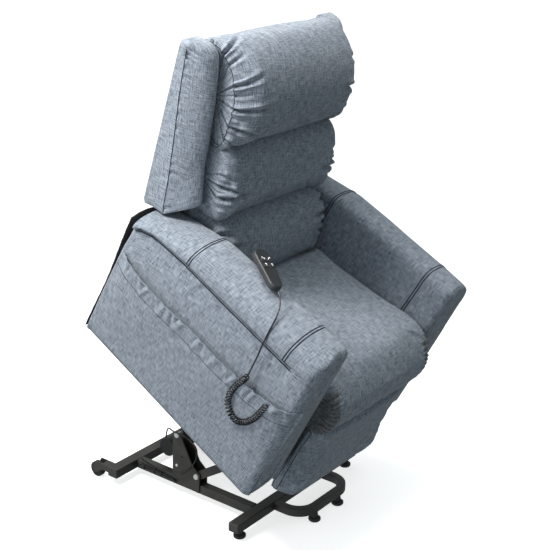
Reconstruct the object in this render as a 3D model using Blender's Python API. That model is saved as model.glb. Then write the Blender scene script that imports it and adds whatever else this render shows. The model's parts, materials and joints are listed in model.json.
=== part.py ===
"""Lift recliner chair, raised: steel base, lift linkage, upholstered chair, legrest, back and handset.

Metres, +Z up, the seated person faces -Y, so their left is +X. The origin is on the floor, under the
middle of the chair. The chair's own pieces are drawn level, as when it is lowered, in (y, z) measured
from the chair's own corner, and one empty tips them forward to the raised position.
"""

import math

import bmesh
import bpy
from mathutils import Vector

GAP = 0.0003
REACH = 0.3  # half length of a cutter that goes right through

# Raised position of the chair: where its own corner is, and how far it tips forward.
RAISED = (-0.1674, 0.2176)
TILT = math.radians(30.37)
# Lowered position of the same corner, with the chair level.
LOWERED = (-0.26, 0.04)

# Base frame on the floor.
BAR_LOW = 0.030
BAR_HIGH = 0.060
BAR_HALF_WIDTH = 0.019
REAR_BAR_Y = 0.401
REAR_BAR_HALF = 0.302
FRONT_BAR_Y = -0.120
FRONT_BAR_HALF = 0.315
RAIL_X = 0.190
RAIL_HALF = 0.015
LOOP_X = 0.125
LOOP_FRONT_Y = -0.240
LOOP_BEND = 0.060
LOOP_SECTION = [(0.0125, -0.0110), (0.0125, 0.0110), (0.0085, 0.0149), (-0.0085, 0.0149), (-0.0125, 0.0110),
                (-0.0125, -0.0110), (-0.0085, -0.0149), (0.0085, -0.0149)]
FOOT_SPOTS = {
    "foot_front_right": (-0.281, -0.118),
    "foot_front_left": (0.281, -0.118),
    "foot_loop_right": (-0.062, LOOP_FRONT_Y),
    "foot_loop_left": (0.062, LOOP_FRONT_Y),
}
WHEEL_X = 0.283
WHEEL_Y = 0.486
WHEEL_RADIUS = 0.026
WHEEL_HALF = 0.011
BRACKET_HALF = 0.0155
CHEEK = 0.003
AXLE_RADIUS = 0.004
AXLE_HALF = 0.014

# Lift linkage, as (y, z) of its pivots on the base, and how steep the raised links stand.
LOWER_PIVOT = (0.118, 0.090)
UPPER_PIVOT = (0.197, 0.213)
LOWER_SLOPE = math.radians(33.0)
UPPER_SLOPE = math.radians(30.0)
PIN_RADIUS = 0.006
LINK_HALF_HEIGHT = 0.0135
UPPER_HALF_HEIGHT = 0.0125
CROSS_SHAFT_RADIUS = 0.008
CROSS_SHAFT_HALF = 0.206
# Planes of the linkage, as distances from the chair's middle.
OUTER_PLATE = (0.2060, 0.2100)
LOWER_LINK = (0.1940, 0.2040)
LIFT_ARM = (0.1865, 0.1925)
UPPER_LINK = (0.1790, 0.1850)
INNER_PLATE = (0.1700, 0.1740)

# Lift actuator: its pivot on the rear bar, and its lug under the chair.
LIFT_MOTOR_PIVOT = (0.333, 0.080)
LIFT_LUG = (0.175, 0.175)
FRONT_TUBE = (0.200, 0.215)
REAR_TUBE = (0.580, 0.220)
TUBE_RADIUS = 0.0125
CHASSIS_X = (0.2400, 0.2460)

# Both actuators, round their own axis: half width of the gearbox, motor, tube and rod, and the lugs.
GEARBOX_HALF = 0.0228
MOTOR_RADIUS = 0.031
MOTOR_AXIS = 0.047
ACTUATOR_TUBE_RADIUS = 0.018
ACTUATOR_BORE_RADIUS = 0.0095
ROD_RADIUS = 0.009
ROD_END_HALF = 0.010
LUG_GAP = (-0.0295, 0.0235)
LUG_THICK = 0.006

# Back: recline axis, rear plane, and its own actuator.
RECLINE_AXIS = (0.633, 0.359)
BACK_FOOT = (0.716, 0.503)
BACK_LEAN = math.radians(12.2)
BACK_HALF = 0.232
LEVER_RADIUS = 0.090
LEVER_ANGLE = math.radians(-80.0)
BACK_MOTOR_PIVOT = (0.234, 0.200)
BACK_MOTOR_X = 0.080
WING_IN = 0.272
WING_OUT = 0.340
WING_ARC = 0.166
WING_SEAM = 0.082  # from the rear face of the back to the seam at the wing's foot
WING_SLOPE = 1.1

# Legrest scissor: pivot on the chassis, pivot on the board, and the length of both links.
SWING_PIVOT = (0.130, 0.245)
BOARD_PIVOT = (-0.022, 0.130)
SCISSOR_LINK = 0.195
SCISSOR_X = (0.2245, 0.2285)
FOLD_X = (0.2295, 0.2335)
SHAFT_RADIUS = 0.007
LEGREST_HALF = 0.235

# Arms: inner and outer side, and the seam that joins each side panel to its pad.
ARM_IN = 0.262
ARM_OUT = 0.400
WALL = 0.018
PANEL_LOW = 0.050
PANEL_REAR = 0.667
PANEL_FRONT_LOW = -0.058
SEAM = ((-0.036, 0.512), (0.068, 0.509), (0.30, 0.508), (0.47, 0.509), (0.56, 0.503), (0.60, 0.498),
        (0.64, 0.482), (PANEL_REAR, 0.462))
PAD_TOP = (0.595, 0.594, 0.588, 0.572, 0.548, 0.532, 0.519, 0.510)

# Handset: centre of its underside on the arm pad, turned outwards at the front.
HANDSET_SPOT = (-0.297, 0.285, 0.6025)
HANDSET_TURN = math.radians(-25.0)
HANDSET_SIZE = (0.048, 0.154, 0.021)
BUTTON_RADIUS = 0.0065
CORD_RADIUS = 0.0023
COIL_RADIUS = 0.0095

COLOURS = {
    "fabric_side": ((0.30, 0.35, 0.41), 0.9, 0.0),
    "fabric": ((0.20, 0.25, 0.30), 0.9, 0.0),
    "black_cloth": ((0.02, 0.02, 0.022), 0.95, 0.0),
    "steel_black": ((0.035, 0.033, 0.032), 0.45, 0.6),
    "zinc": ((0.62, 0.61, 0.58), 0.35, 1.0),
    "black_plastic": ((0.03, 0.03, 0.032), 0.5, 0.0),
    "handset_grey": ((0.06, 0.065, 0.075), 0.45, 0.0),
    "button_grey": ((0.12, 0.12, 0.13), 0.5, 0.0),
    "cord_black": ((0.012, 0.012, 0.014), 0.45, 0.0),
    "rubber": ((0.025, 0.025, 0.025), 0.8, 0.0),
    "plywood": ((0.50, 0.36, 0.22), 0.7, 0.0),
}


# Plane geometry in (y, z) -------------------------------------------------------------------------

def turned(point, angle):
    """The (y, z) point turned about the origin, from +Y towards +Z."""
    y, z = point
    return (y * math.cos(angle) - z * math.sin(angle), y * math.sin(angle) + z * math.cos(angle))


def plus(a, b, scale=1.0):
    return (a[0] + scale * b[0], a[1] + scale * b[1])


def raised(point):
    """Where a point of the level chair is when the chair is raised."""
    return plus(RAISED, turned(point, TILT))


def level(point):
    """The level chair's own coordinates of a point given in the raised position."""
    return turned(plus(point, RAISED, -1), -TILT)


def link_end(pivot, slope):
    """Far end of a link that keeps its length between the raised and the lowered chair."""
    along = (-math.cos(slope), math.sin(slope))
    start = plus(plus(LOWERED, level(pivot)), pivot, -1)
    spin = turned(along, -TILT)
    length = -(start[0] ** 2 + start[1] ** 2) / (2 * (start[0] * spin[0] + start[1] * spin[1]))
    return plus(pivot, along, length)


def angle_between(a, b):
    return math.atan2(b[1] - a[1], b[0] - a[0])


def distance(a, b):
    return math.hypot(b[0] - a[0], b[1] - a[1])


def arc(centre, radius, start, end, steps):
    """Points on an arc, angles in degrees."""
    turn = [math.radians(start + (end - start) * i / steps) for i in range(steps + 1)]
    return [(centre[0] + radius * math.cos(a), centre[1] + radius * math.sin(a)) for a in turn]


def bar_outline(a, b, radius, steps=6):
    """A flat link with round ends from a to b."""
    heading = math.degrees(angle_between(a, b))
    far_end = arc(b, radius, heading - 90, heading + 90, steps)
    return far_end + arc(a, radius, heading + 90, heading + 270, steps)


LOWER_END = link_end(LOWER_PIVOT, LOWER_SLOPE)
UPPER_END = link_end(UPPER_PIVOT, UPPER_SLOPE)
TILT_PIVOT = level(LOWER_END)
UPPER_JOINT = level(UPPER_END)


# Meshes -------------------------------------------------------------------------------------------

materials = {}


def material(key):
    if key not in materials:
        colour, roughness, metallic = COLOURS[key]
        made = bpy.data.materials.new(key)
        made.use_nodes = True
        shader = made.node_tree.nodes["Principled BSDF"]
        shader.inputs["Base Color"].default_value = (*colour, 1.0)
        shader.inputs["Roughness"].default_value = roughness
        shader.inputs["Metallic"].default_value = metallic
        materials[key] = made
    return materials[key]


def loft(name, key, rings, parent=None, offset=(0, 0, 0), smooth=False):
    """A closed solid through rings of points, with a flat cap at each end."""
    mesh = bmesh.new()
    rows = [[mesh.verts.new(point) for point in ring] for ring in rings]
    count = len(rows[0])
    for low, high in zip(rows, rows[1:]):
        for i in range(count):
            j = (i + 1) % count
            mesh.faces.new((low[i], low[j], high[j], high[i]))
    mesh.faces.new(rows[0][::-1])
    mesh.faces.new(rows[-1])
    bmesh.ops.recalc_face_normals(mesh, faces=mesh.faces)
    data = bpy.data.meshes.new(name)
    mesh.to_mesh(data)
    mesh.free()
    made = bpy.data.objects.new(name, data)
    bpy.context.scene.collection.objects.link(made)
    data.materials.append(material(key))
    if smooth:
        data.shade_smooth()
        data.set_sharp_from_angle(angle=math.radians(40))
    place(made, parent, offset)
    return made


def place(made, parent, offset):
    made.parent = parent
    made.location = offset


def prism_x(name, key, outline, x0, x1, **more):
    """An outline in (y, z), from x0 to x1."""
    return loft(name, key, [[(x, y, z) for y, z in outline] for x in (x0, x1)], **more)


def prism_y(name, key, outline, y0, y1, **more):
    """An outline in (x, z), from y0 to y1."""
    return loft(name, key, [[(x, y, z) for x, z in outline] for y in (y0, y1)], **more)


def box(name, key, low, high, **more):
    outline = [(low[1], low[2]), (high[1], low[2]), (high[1], high[2]), (low[1], high[2])]
    return prism_x(name, key, outline, low[0], high[0], **more)


def rod_x(name, key, centre, radius, x0, x1, sides=24, **more):
    """A round bar along X."""
    return prism_x(name, key, arc(centre, radius, 0, 360, sides)[:-1], x0, x1, smooth=True, **more)


def stack(name, key, spot, levels, sides=24, axis="z", **more):
    """A turned solid: levels are (height, radius) from its base at spot, along Z, Y or X."""
    rings = []
    for height, radius in levels:
        ring = arc((0, 0), radius, 0, 360, sides)[:-1]
        if axis == "z":
            rings.append([(spot[0] + a, spot[1] + b, spot[2] + height) for a, b in ring])
        elif axis == "y":
            rings.append([(spot[0] + a, spot[1] + height, spot[2] + b) for a, b in ring])
        else:
            rings.append([(spot[0] + height, spot[1] + a, spot[2] + b) for a, b in ring])
    return loft(name, key, rings, smooth=True, **more)


def bevel(made, width, segments=2):
    step = made.modifiers.new("Rounded edges", "BEVEL")
    step.width = width
    step.segments = segments
    step.limit_method = "ANGLE"
    step.angle_limit = math.radians(35)
    return made


def combine(made, helper, operation):
    """Cuts the helper from the piece, or joins it to the piece, and keeps the helper out of the model."""
    helper.name = f"{made.name}_{operation.lower()}_{len(made.modifiers)}"
    helper.hide_render = True
    helper.display_type = "WIRE"
    helper.hide_set(True)
    step = made.modifiers.new(helper.name, "BOOLEAN")
    step.operation = operation
    step.solver = "EXACT"
    step.object = helper
    return made


def cut(made, helper):
    return combine(made, helper, "DIFFERENCE")


def join(made, helper):
    return combine(made, helper, "UNION")


def axis_empty(name, location, parent=None, turn=0.0):
    made = bpy.data.objects.new(name, None)
    bpy.context.scene.collection.objects.link(made)
    made.parent = parent
    made.location = location
    made.rotation_euler = (turn, 0, 0)
    return made


def on(pivot):
    """Location and parent offset for pieces drawn around a pivot given as (y, z)."""
    return (0, -pivot[0], -pivot[1])


def sides(name):
    """Both sides of a mirrored pair, as (node name, sign of X)."""
    return ((f"{name}_left", 1), (f"{name}_right", -1))


def tube(name, key, points, radius, **more):
    """A round tube or cord through the points."""
    data = bpy.data.curves.new(name, "CURVE")
    data.dimensions = "3D"
    line = data.splines.new("POLY")
    line.points.add(len(points) - 1)
    for item, point in zip(line.points, points):
        item.co = (*point, 1.0)
    data.bevel_depth = radius
    data.bevel_resolution = 2
    data.use_fill_caps = True
    data.materials.append(material(key))
    made = bpy.data.objects.new(name, data)
    bpy.context.scene.collection.objects.link(made)
    place(made, more.get("parent"), more.get("offset", (0, 0, 0)))
    return made


def smooth_path(points, steps):
    """A smooth curve through the points, with this many short steps between neighbours."""
    ends = [2 * Vector(points[0]) - Vector(points[1])] + [Vector(p) for p in points]
    ends.append(2 * Vector(points[-1]) - Vector(points[-2]))
    path = []
    for a, b, c, d in zip(ends, ends[1:], ends[2:], ends[3:]):
        for i in range(steps):
            t = i / steps
            path.append(0.5 * (2 * b + (c - a) * t + (2 * a - 5 * b + 4 * c - d) * t * t
                               + (3 * b - a - 3 * c + d) * t ** 3))
    path.append(Vector(points[-1]))
    return path


# Base ---------------------------------------------------------------------------------------------

def build_base_frame():
    low, high, half = BAR_LOW, BAR_HIGH, BAR_HALF_WIDTH
    bar = box("base_rear_bar", "steel_black", (-REAR_BAR_HALF, REAR_BAR_Y - half, low),
              (REAR_BAR_HALF, REAR_BAR_Y + half, high))
    y, z = LIFT_MOTOR_PIVOT
    face = REAR_BAR_Y - half + 0.003
    ear = [(face, low + 0.004), (face, high - 0.002), (y + 0.012, z + 0.012), (y - 0.011, z + 0.012),
           (y - 0.011, z - 0.012), (y + 0.017, low + 0.004)]
    for x in LUG_GAP:
        join(bar, prism_x("ear", "steel_black", ear, x, x + LUG_THICK))
    front = box("base_front_bar", "steel_black", (-FRONT_BAR_HALF, FRONT_BAR_Y - half, low),
                (FRONT_BAR_HALF, FRONT_BAR_Y + half, high))
    bevel(front, 0.003)
    for name, side in sides("base_rail"):
        rail = box(name, "steel_black", (side * RAIL_X - RAIL_HALF, FRONT_BAR_Y + half + GAP, low),
                   (side * RAIL_X + RAIL_HALF, REAR_BAR_Y - half - GAP, high))
        bevel(rail, 0.002)


def build_front_loop():
    """The U of bent tube in front of the front bar."""
    start = FRONT_BAR_Y - BAR_HALF_WIDTH - GAP
    bend_y = LOOP_FRONT_Y + LOOP_BEND
    line = [(LOOP_X, start)]
    line += arc((LOOP_X - LOOP_BEND, bend_y), LOOP_BEND, 0, -90, 8)
    line += arc((LOOP_BEND - LOOP_X, bend_y), LOOP_BEND, -90, -180, 8)
    line.append((-LOOP_X, start))
    rings = []
    for i, (x, y) in enumerate(line):
        before, after = line[max(i - 1, 0)], line[min(i + 1, len(line) - 1)]
        heading = angle_between(before, after)
        across = (-math.sin(heading), math.cos(heading))
        rings.append([(x + a * across[0], y + a * across[1], (BAR_LOW + BAR_HIGH) / 2 + b)
                      for a, b in LOOP_SECTION])
    loft("base_front_loop", "steel_black", rings)


def build_feet():
    for name, (x, y) in FOOT_SPOTS.items():
        top = BAR_LOW - GAP if "front" in name else BAR_LOW
        levels = [(0, 0.017), (0.003, 0.0195), (0.009, 0.0195), (0.012, 0.016), (0.0125, 0.011), (top, 0.010)]
        stack(name, "black_plastic", (x, y, 0), levels, sides=20)


def build_wheels():
    rear = REAR_BAR_Y + BAR_HALF_WIDTH + GAP
    cheek = [(rear + 0.030, 0.040), (WHEEL_Y - 0.006, 0.019), (WHEEL_Y + 0.010, 0.019),
             (WHEEL_Y + 0.014, 0.034), (WHEEL_Y - 0.004, 0.060), (rear + 0.030, 0.060)]
    for name, side in sides("wheel_bracket"):
        x = side * WHEEL_X
        bracket = box(name, "steel_black", (x - BRACKET_HALF, rear, 0.038),
                      (x + BRACKET_HALF, rear + 0.032, BAR_HIGH))
        for edge in (-BRACKET_HALF, BRACKET_HALF - CHEEK):
            join(bracket, prism_x("cheek", "steel_black", cheek, x + edge, x + edge + CHEEK))
        join(bracket, rod_x("axle", "steel_black", (WHEEL_Y, WHEEL_RADIUS), AXLE_RADIUS, x - AXLE_HALF,
                            x + AXLE_HALF, sides=12))
    for name, side in sides("transport_wheel"):
        spin = axis_empty(f"{name}_axis", (side * WHEEL_X, WHEEL_Y, WHEEL_RADIUS))
        levels = [(-WHEEL_HALF, 0.022), (0.003 - WHEEL_HALF, WHEEL_RADIUS),
                  (WHEEL_HALF - 0.003, WHEEL_RADIUS), (WHEEL_HALF, 0.022)]
        wheel = stack(name, "rubber", (0, 0, 0), levels, sides=28, axis="x", parent=spin)
        cut(wheel, rod_x("bore", "rubber", (0, 0), AXLE_RADIUS + 0.0005, -REACH, REACH, sides=12, parent=spin))


def build_stanchions():
    """The pair of plates over each rail that carries both links."""
    y1, z1 = LOWER_PIVOT
    y2, z2 = UPPER_PIVOT
    outline = [(y1 - 0.010, 0.034), (y2 + 0.022, 0.040), (y2 + 0.018, z2 - 0.013), (y2 + 0.004, z2 + 0.010),
               (y2 - 0.016, z2 + 0.003), (y1 + 0.018, z1 + 0.036), (y1 - 0.014, z1 + 0.010)]
    for name, side in sides("stanchion"):
        plates = prism_x(name, "steel_black", outline, *ordered(side, OUTER_PLATE))
        join(plates, prism_x("inner", "steel_black", outline, *ordered(side, INNER_PLATE)))
        web = (min(side * OUTER_PLATE[0], side * INNER_PLATE[1]) - 0.001, y2 + 0.008, BAR_HIGH + GAP)
        web_end = (max(side * OUTER_PLATE[0], side * INNER_PLATE[1]) + 0.001, y2 + 0.013, z2 - 0.030)
        join(plates, box("web", "steel_black", web, web_end))
        for pivot in (LOWER_PIVOT, UPPER_PIVOT):
            cut(plates, rod_x("bore", "steel_black", pivot, PIN_RADIUS + GAP, *ordered(side, (0, REACH))))
    for row, pivot in (("lower", LOWER_PIVOT), ("upper", UPPER_PIVOT)):
        for name, side in sides(f"{row}_pivot_pin"):
            levels = [(-0.0225, 0.009), (-0.0205, 0.009), (-0.0205, PIN_RADIUS), (0.0205, PIN_RADIUS),
                      (0.0205, 0.010), (0.0235, 0.0085)]
            levels = [(side * height, radius) for height, radius in levels]
            stack(name, "zinc", (side * RAIL_X, *pivot), levels, sides=20, axis="x")


def ordered(side, span):
    """A span of X on the given side, lowest first."""
    return sorted((side * span[0], side * span[1]))


# Lift linkage and lift actuator ---------------------------------------------------------------------

def build_links():
    lift = axis_empty("lift_axis", (0, *LOWER_PIVOT))
    for name, side in sides("lift_link_lower"):
        outline = bar_outline(LOWER_PIVOT, LOWER_END, LINK_HALF_HEIGHT)
        link = prism_x(name, "steel_black", outline, *ordered(side, LOWER_LINK), parent=lift,
                       offset=on(LOWER_PIVOT))
        cut(link, rod_x("bore", "steel_black", LOWER_PIVOT, PIN_RADIUS + GAP, -REACH, REACH, parent=lift,
                        offset=on(LOWER_PIVOT)))
        cut(link, rod_x("bore", "steel_black", LOWER_END, CROSS_SHAFT_RADIUS + GAP, -REACH, REACH,
                        parent=lift, offset=on(LOWER_PIVOT)))
    rod_x("lift_cross_shaft", "steel_black", LOWER_END, CROSS_SHAFT_RADIUS, -CROSS_SHAFT_HALF,
          CROSS_SHAFT_HALF, parent=lift, offset=on(LOWER_PIVOT))
    follow = axis_empty("upper_link_axis", (0, *UPPER_PIVOT))
    for name, side in sides("lift_link_upper"):
        outline = bar_outline(UPPER_PIVOT, UPPER_END, UPPER_HALF_HEIGHT)
        link = prism_x(name, "steel_black", outline, *ordered(side, UPPER_LINK), parent=follow,
                       offset=on(UPPER_PIVOT))
        cut(link, rod_x("bore", "steel_black", UPPER_PIVOT, PIN_RADIUS + GAP, -REACH, REACH, parent=follow,
                        offset=on(UPPER_PIVOT)))


def build_actuator(name, key, pivot, tip, middle, motor, reach, parent, eye, fork):
    """A linear actuator from its pivot to its rod's eye: gearbox, side motor and tube, then the rod.

    pivot and tip are (y, z) in the parent's coordinates, middle its X, and motor the X of the motor's end.
    reach is the tube's length. The rod ends in a flat eye, or in a fork where fork is true.
    """
    turn = angle_between(pivot, tip)
    length = distance(pivot, tip)
    frame = axis_empty(f"{name}_axis", (middle, *pivot), parent, turn)
    body = box(f"{name}_body", key, (-GEARBOX_HALF, -0.012, -0.012), (GEARBOX_HALF, 0.075, 0.026),
               parent=frame)
    join(body, rod_x("motor", key, (MOTOR_AXIS, 0.0), MOTOR_RADIUS,
                     *sorted((math.copysign(0.010, motor), motor)), parent=frame))
    wall, bore = ACTUATOR_TUBE_RADIUS, ACTUATOR_BORE_RADIUS
    join(body, stack("tube", key, (0, 0, 0), [(0.060, wall), (reach, wall)], axis="y", parent=frame))
    cut(body, stack("bore", key, (0, 0, 0), [(0.078, bore), (reach + 0.01, bore)], axis="y", parent=frame))
    rod = stack(f"{name}_rod", "zinc", (0, 0, 0), [(reach - 0.10, ROD_RADIUS), (length - 0.020, ROD_RADIUS)],
                axis="y", parent=frame)
    half = ROD_END_HALF
    if fork:
        join(rod, box("fork", "zinc", (-eye - 0.006, length - 0.026, -half),
                      (eye + 0.006, length + 0.012, half), parent=frame))
        cut(rod, box("slot", "zinc", (-eye, length - 0.014, -2 * half), (eye, length + 0.02, 2 * half),
                     parent=frame))
    else:
        join(rod, box("eye", "zinc", (-eye, length - 0.026, -half), (eye, length + 0.009, half),
                      parent=frame))


# Chair: chassis, arms, seat ----------------------------------------------------------------------------

def build_chassis(chair, shift):
    """Side plates, two cross tubes and the lugs of both actuators, as one welded frame."""
    y, z = RECLINE_AXIS
    outline = [(0.045, 0.205), (0.660, 0.205), (0.665, 0.290), (y + 0.020, z + 0.020), (y - 0.020, z + 0.020),
               (y - 0.045, 0.262), (0.045, 0.262)]
    keep = {"parent": chair, "offset": shift}
    frame = prism_x("chassis_frame", "steel_black", outline, *ordered(1, CHASSIS_X), **keep)
    join(frame, prism_x("side", "steel_black", outline, *ordered(-1, CHASSIS_X), **keep))
    for centre in (FRONT_TUBE, REAR_TUBE):
        join(frame, rod_x("tube", "steel_black", centre, TUBE_RADIUS, -CHASSIS_X[0] - 0.001,
                          CHASSIS_X[0] + 0.001, sides=16, **keep))
    ly, lz = LIFT_LUG
    lug = [(FRONT_TUBE[0] + 0.008, FRONT_TUBE[1] - 0.004), (FRONT_TUBE[0] - 0.008, FRONT_TUBE[1] + 0.004),
           (ly - 0.010, lz + 0.004), (ly - 0.006, lz - 0.009), (ly + 0.008, lz - 0.008)]
    join(frame, prism_x("lift_lug", "steel_black", lug, -0.0045, 0.0045, **keep))
    by, bz = BACK_MOTOR_PIVOT
    lug = [(FRONT_TUBE[0], FRONT_TUBE[1] + 0.009), (FRONT_TUBE[0] - 0.002, FRONT_TUBE[1] - 0.009),
           (by - 0.002, bz - 0.011), (by + 0.011, bz - 0.004), (by + 0.008, bz + 0.010)]
    for edge in LUG_GAP:
        join(frame, prism_x("back_lug", "steel_black", lug, BACK_MOTOR_X + edge,
                            BACK_MOTOR_X + edge + LUG_THICK, **keep))
    cut(frame, rod_x("bore", "steel_black", RECLINE_AXIS, PIN_RADIUS + GAP, -REACH, REACH, sides=16, **keep))
    cut(frame, rod_x("bore", "steel_black", SWING_PIVOT, SHAFT_RADIUS + GAP, -REACH, REACH, sides=16, **keep))
    ty, tz = TILT_PIVOT
    uy, uz = UPPER_JOINT
    for name, side in sides("lift_arm"):
        plate = [(ty - 0.004, tz - 0.016), (ty + 0.016, tz - 0.012), (uy - 0.012, uz - 0.015),
                 (uy + 0.014, uz - 0.010), (FRONT_TUBE[0] + 0.020, FRONT_TUBE[1] - 0.010),
                 (FRONT_TUBE[0] + 0.018, FRONT_TUBE[1] + 0.022),
                 (FRONT_TUBE[0] - 0.020, FRONT_TUBE[1] + 0.022),
                 (ty - 0.006, tz + 0.050), (ty - 0.016, tz + 0.004)]
        arm = prism_x(name, "steel_black", plate, *ordered(side, LIFT_ARM), **keep)
        cut(arm, rod_x("bore", "steel_black", TILT_PIVOT, CROSS_SHAFT_RADIUS + GAP, -REACH, REACH, **keep))
        cut(arm, rod_x("bore", "steel_black", FRONT_TUBE, TUBE_RADIUS + GAP, -REACH, REACH, sides=16, **keep))


def build_arms(chair, shift):
    keep = {"parent": chair, "offset": shift}
    panel = [(PANEL_REAR, PANEL_LOW), (PANEL_FRONT_LOW, PANEL_LOW)] + list(SEAM)
    hollow = [(PANEL_REAR - WALL, PANEL_LOW - 0.02), (PANEL_FRONT_LOW + WALL, PANEL_LOW - 0.02)]
    hollow += [(y + (WALL if y < 0 else 0), z - WALL) for y, z in SEAM[:-1]] + [(PANEL_REAR - WALL, 0.455)]
    for name, side in sides("arm_frame"):
        frame = prism_x(name, "fabric_side", panel, *ordered(side, (ARM_IN, ARM_OUT)), **keep)
        cut(frame, prism_x("hollow", "plywood", hollow, *ordered(side, (ARM_IN + WALL, ARM_OUT - WALL)),
                           **keep))
        clear = [(PANEL_FRONT_LOW - 0.01 + WALL, 0.0), (PANEL_REAR - WALL, 0.0), (PANEL_REAR - WALL, 0.10),
                 (PANEL_FRONT_LOW - 0.01 + WALL, 0.10)]
        cut(frame, prism_x("clear", "plywood", clear, *ordered(side, (ARM_IN - 0.01, ARM_IN + WALL + 0.01)),
                           **keep))
    for name, side in sides("arm_pad"):
        rings = []
        for (y, low), top in zip(SEAM, PAD_TOP):
            low += GAP
            rise = top - low
            section = [(0.261, 0.0), (0.261, 0.55), (0.266, 0.82), (0.281, 0.96), (0.303, 1.0), (0.330, 0.97),
                       (0.362, 0.80), (0.386, 0.52), (0.399, 0.20), (0.4015, 0.0)]
            rings.append([(side * x, y, low + rise * part) for x, part in section])
        loft(name, "fabric", rings, smooth=True, **keep)


def build_pocket(chair, shift):
    """The full-width pocket on the outside of the right arm, open along its top edge."""
    keep = {"parent": chair, "offset": shift}
    outside, inside = -ARM_OUT - 0.0115, -ARM_OUT - GAP
    top = [(0.026, 0.386), (0.080, 0.375), (0.196, 0.365), (0.450, 0.363), (0.538, 0.364), (0.640, 0.376)]
    outline = [(0.655, 0.058), (-0.054, 0.058), (-0.0385, 0.405)] + top + [(0.655, 0.380)]
    inner = [(0.643, 0.070), (-0.040, 0.070), (-0.028, 0.5), (0.643, 0.5)]
    pocket = prism_x("side_pocket", "fabric_side", outline, outside, inside, **keep)
    cut(pocket, prism_x("hollow", "fabric_side", inner, outside + 0.003, inside + 0.01, **keep))


def build_seat(chair, shift):
    keep = {"parent": chair, "offset": shift}
    rear = [(-0.398, 0.052), (0.398, 0.052), (0.398, 0.455), (0.262, 0.455), (0.262, 0.285), (-0.262, 0.285),
            (-0.262, 0.455), (-0.398, 0.455)]
    prism_y("rear_cover", "black_cloth", rear, 0.6705, 0.6835, **keep)
    box("seat_deck", "plywood", (-0.220, -0.020, 0.268), (0.220, 0.400, 0.2805), **keep)
    cushion = [(0.410, 0.284), (0.410, 0.376), (0.300, 0.404), (0.200, 0.421), (0.120, 0.435), (0.030, 0.448),
               (-0.030, 0.449), (-0.068, 0.430), (-0.090, 0.395), (-0.092, 0.350), (-0.070, 0.306),
               (-0.035, 0.287), (0.020, 0.284)]
    bevel(prism_x("seat_cushion", "fabric", cushion, -0.254, 0.254, **keep), 0.012)


# Legrest -------------------------------------------------------------------------------------------------

def fold_pivot(far, down):
    """The pivot between both scissor links, with the board's pivot at far; down picks the lower one."""
    half = distance(SWING_PIVOT, far) / 2
    rise = math.sqrt(SCISSOR_LINK ** 2 - half ** 2)
    heading = angle_between(SWING_PIVOT, far)
    middle = plus(SWING_PIVOT, (math.cos(heading), math.sin(heading)), half)
    return plus(middle, (-math.sin(heading), math.cos(heading)), rise if down else -rise)


def build_legrest(chair, shift):
    knee = fold_pivot(BOARD_PIVOT, True)
    swing = axis_empty("legrest_swing_axis", plus3(shift, SWING_PIVOT), chair)
    fold = axis_empty("legrest_fold_axis", (0, *plus(knee, SWING_PIVOT, -1)), swing)
    rest = axis_empty("legrest_axis", (0, *plus(BOARD_PIVOT, knee, -1)), fold)
    near = {"parent": swing, "offset": on(SWING_PIVOT)}
    outline = bar_outline(SWING_PIVOT, knee, 0.011)
    link = prism_x("legrest_swing_link", "steel_black", outline, *ordered(1, SCISSOR_X), **near)
    join(link, prism_x("other", "steel_black", outline, *ordered(-1, SCISSOR_X), **near))
    join(link, rod_x("shaft", "steel_black", SWING_PIVOT, SHAFT_RADIUS, -0.245, 0.245, sides=16, **near))
    far = {"parent": fold, "offset": on(knee)}
    for name, side in sides("legrest_fold_link"):
        outline = bar_outline(knee, plus(BOARD_PIVOT, (0.010, 0)), 0.010)
        prism_x(name, "steel_black", outline, *ordered(side, FOLD_X), **far)
    end = {"parent": rest, "offset": on(BOARD_PIVOT)}
    box("legrest_board", "plywood", (-0.225, -0.0425, 0.004), (0.225, -0.0300, 0.250), **end)
    pad = [(-0.0428, 0.258), (-0.064, 0.262), (-0.079, 0.250), (-0.086, 0.200), (-0.099, 0.110),
           (-0.109, 0.040), (-0.106, 0.006), (-0.092, -0.008), (-0.0428, -0.006)]
    bevel(prism_x("legrest_pad", "fabric", pad, -LEGREST_HALF, LEGREST_HALF, **end), 0.010)


def plus3(shift, point):
    return (shift[0], shift[1] + point[0], shift[2] + point[1])


# Back -----------------------------------------------------------------------------------------------------

def back_point(x, rise, depth):
    """A point of the leaning back: rise along it, and depth forward of its rear face."""
    y = BACK_FOOT[0] + rise * math.sin(BACK_LEAN) - depth * math.cos(BACK_LEAN)
    z = BACK_FOOT[1] + rise * math.cos(BACK_LEAN) + depth * math.sin(BACK_LEAN)
    return (x, y, z)


def back_slab(name, key, outline, front, rear, **more):
    """An outline in (x, rise) between two depths of the back."""
    return loft(name, key, [[back_point(x, rise, depth) for x, rise in outline] for depth in (front, rear)],
                **more)


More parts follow.
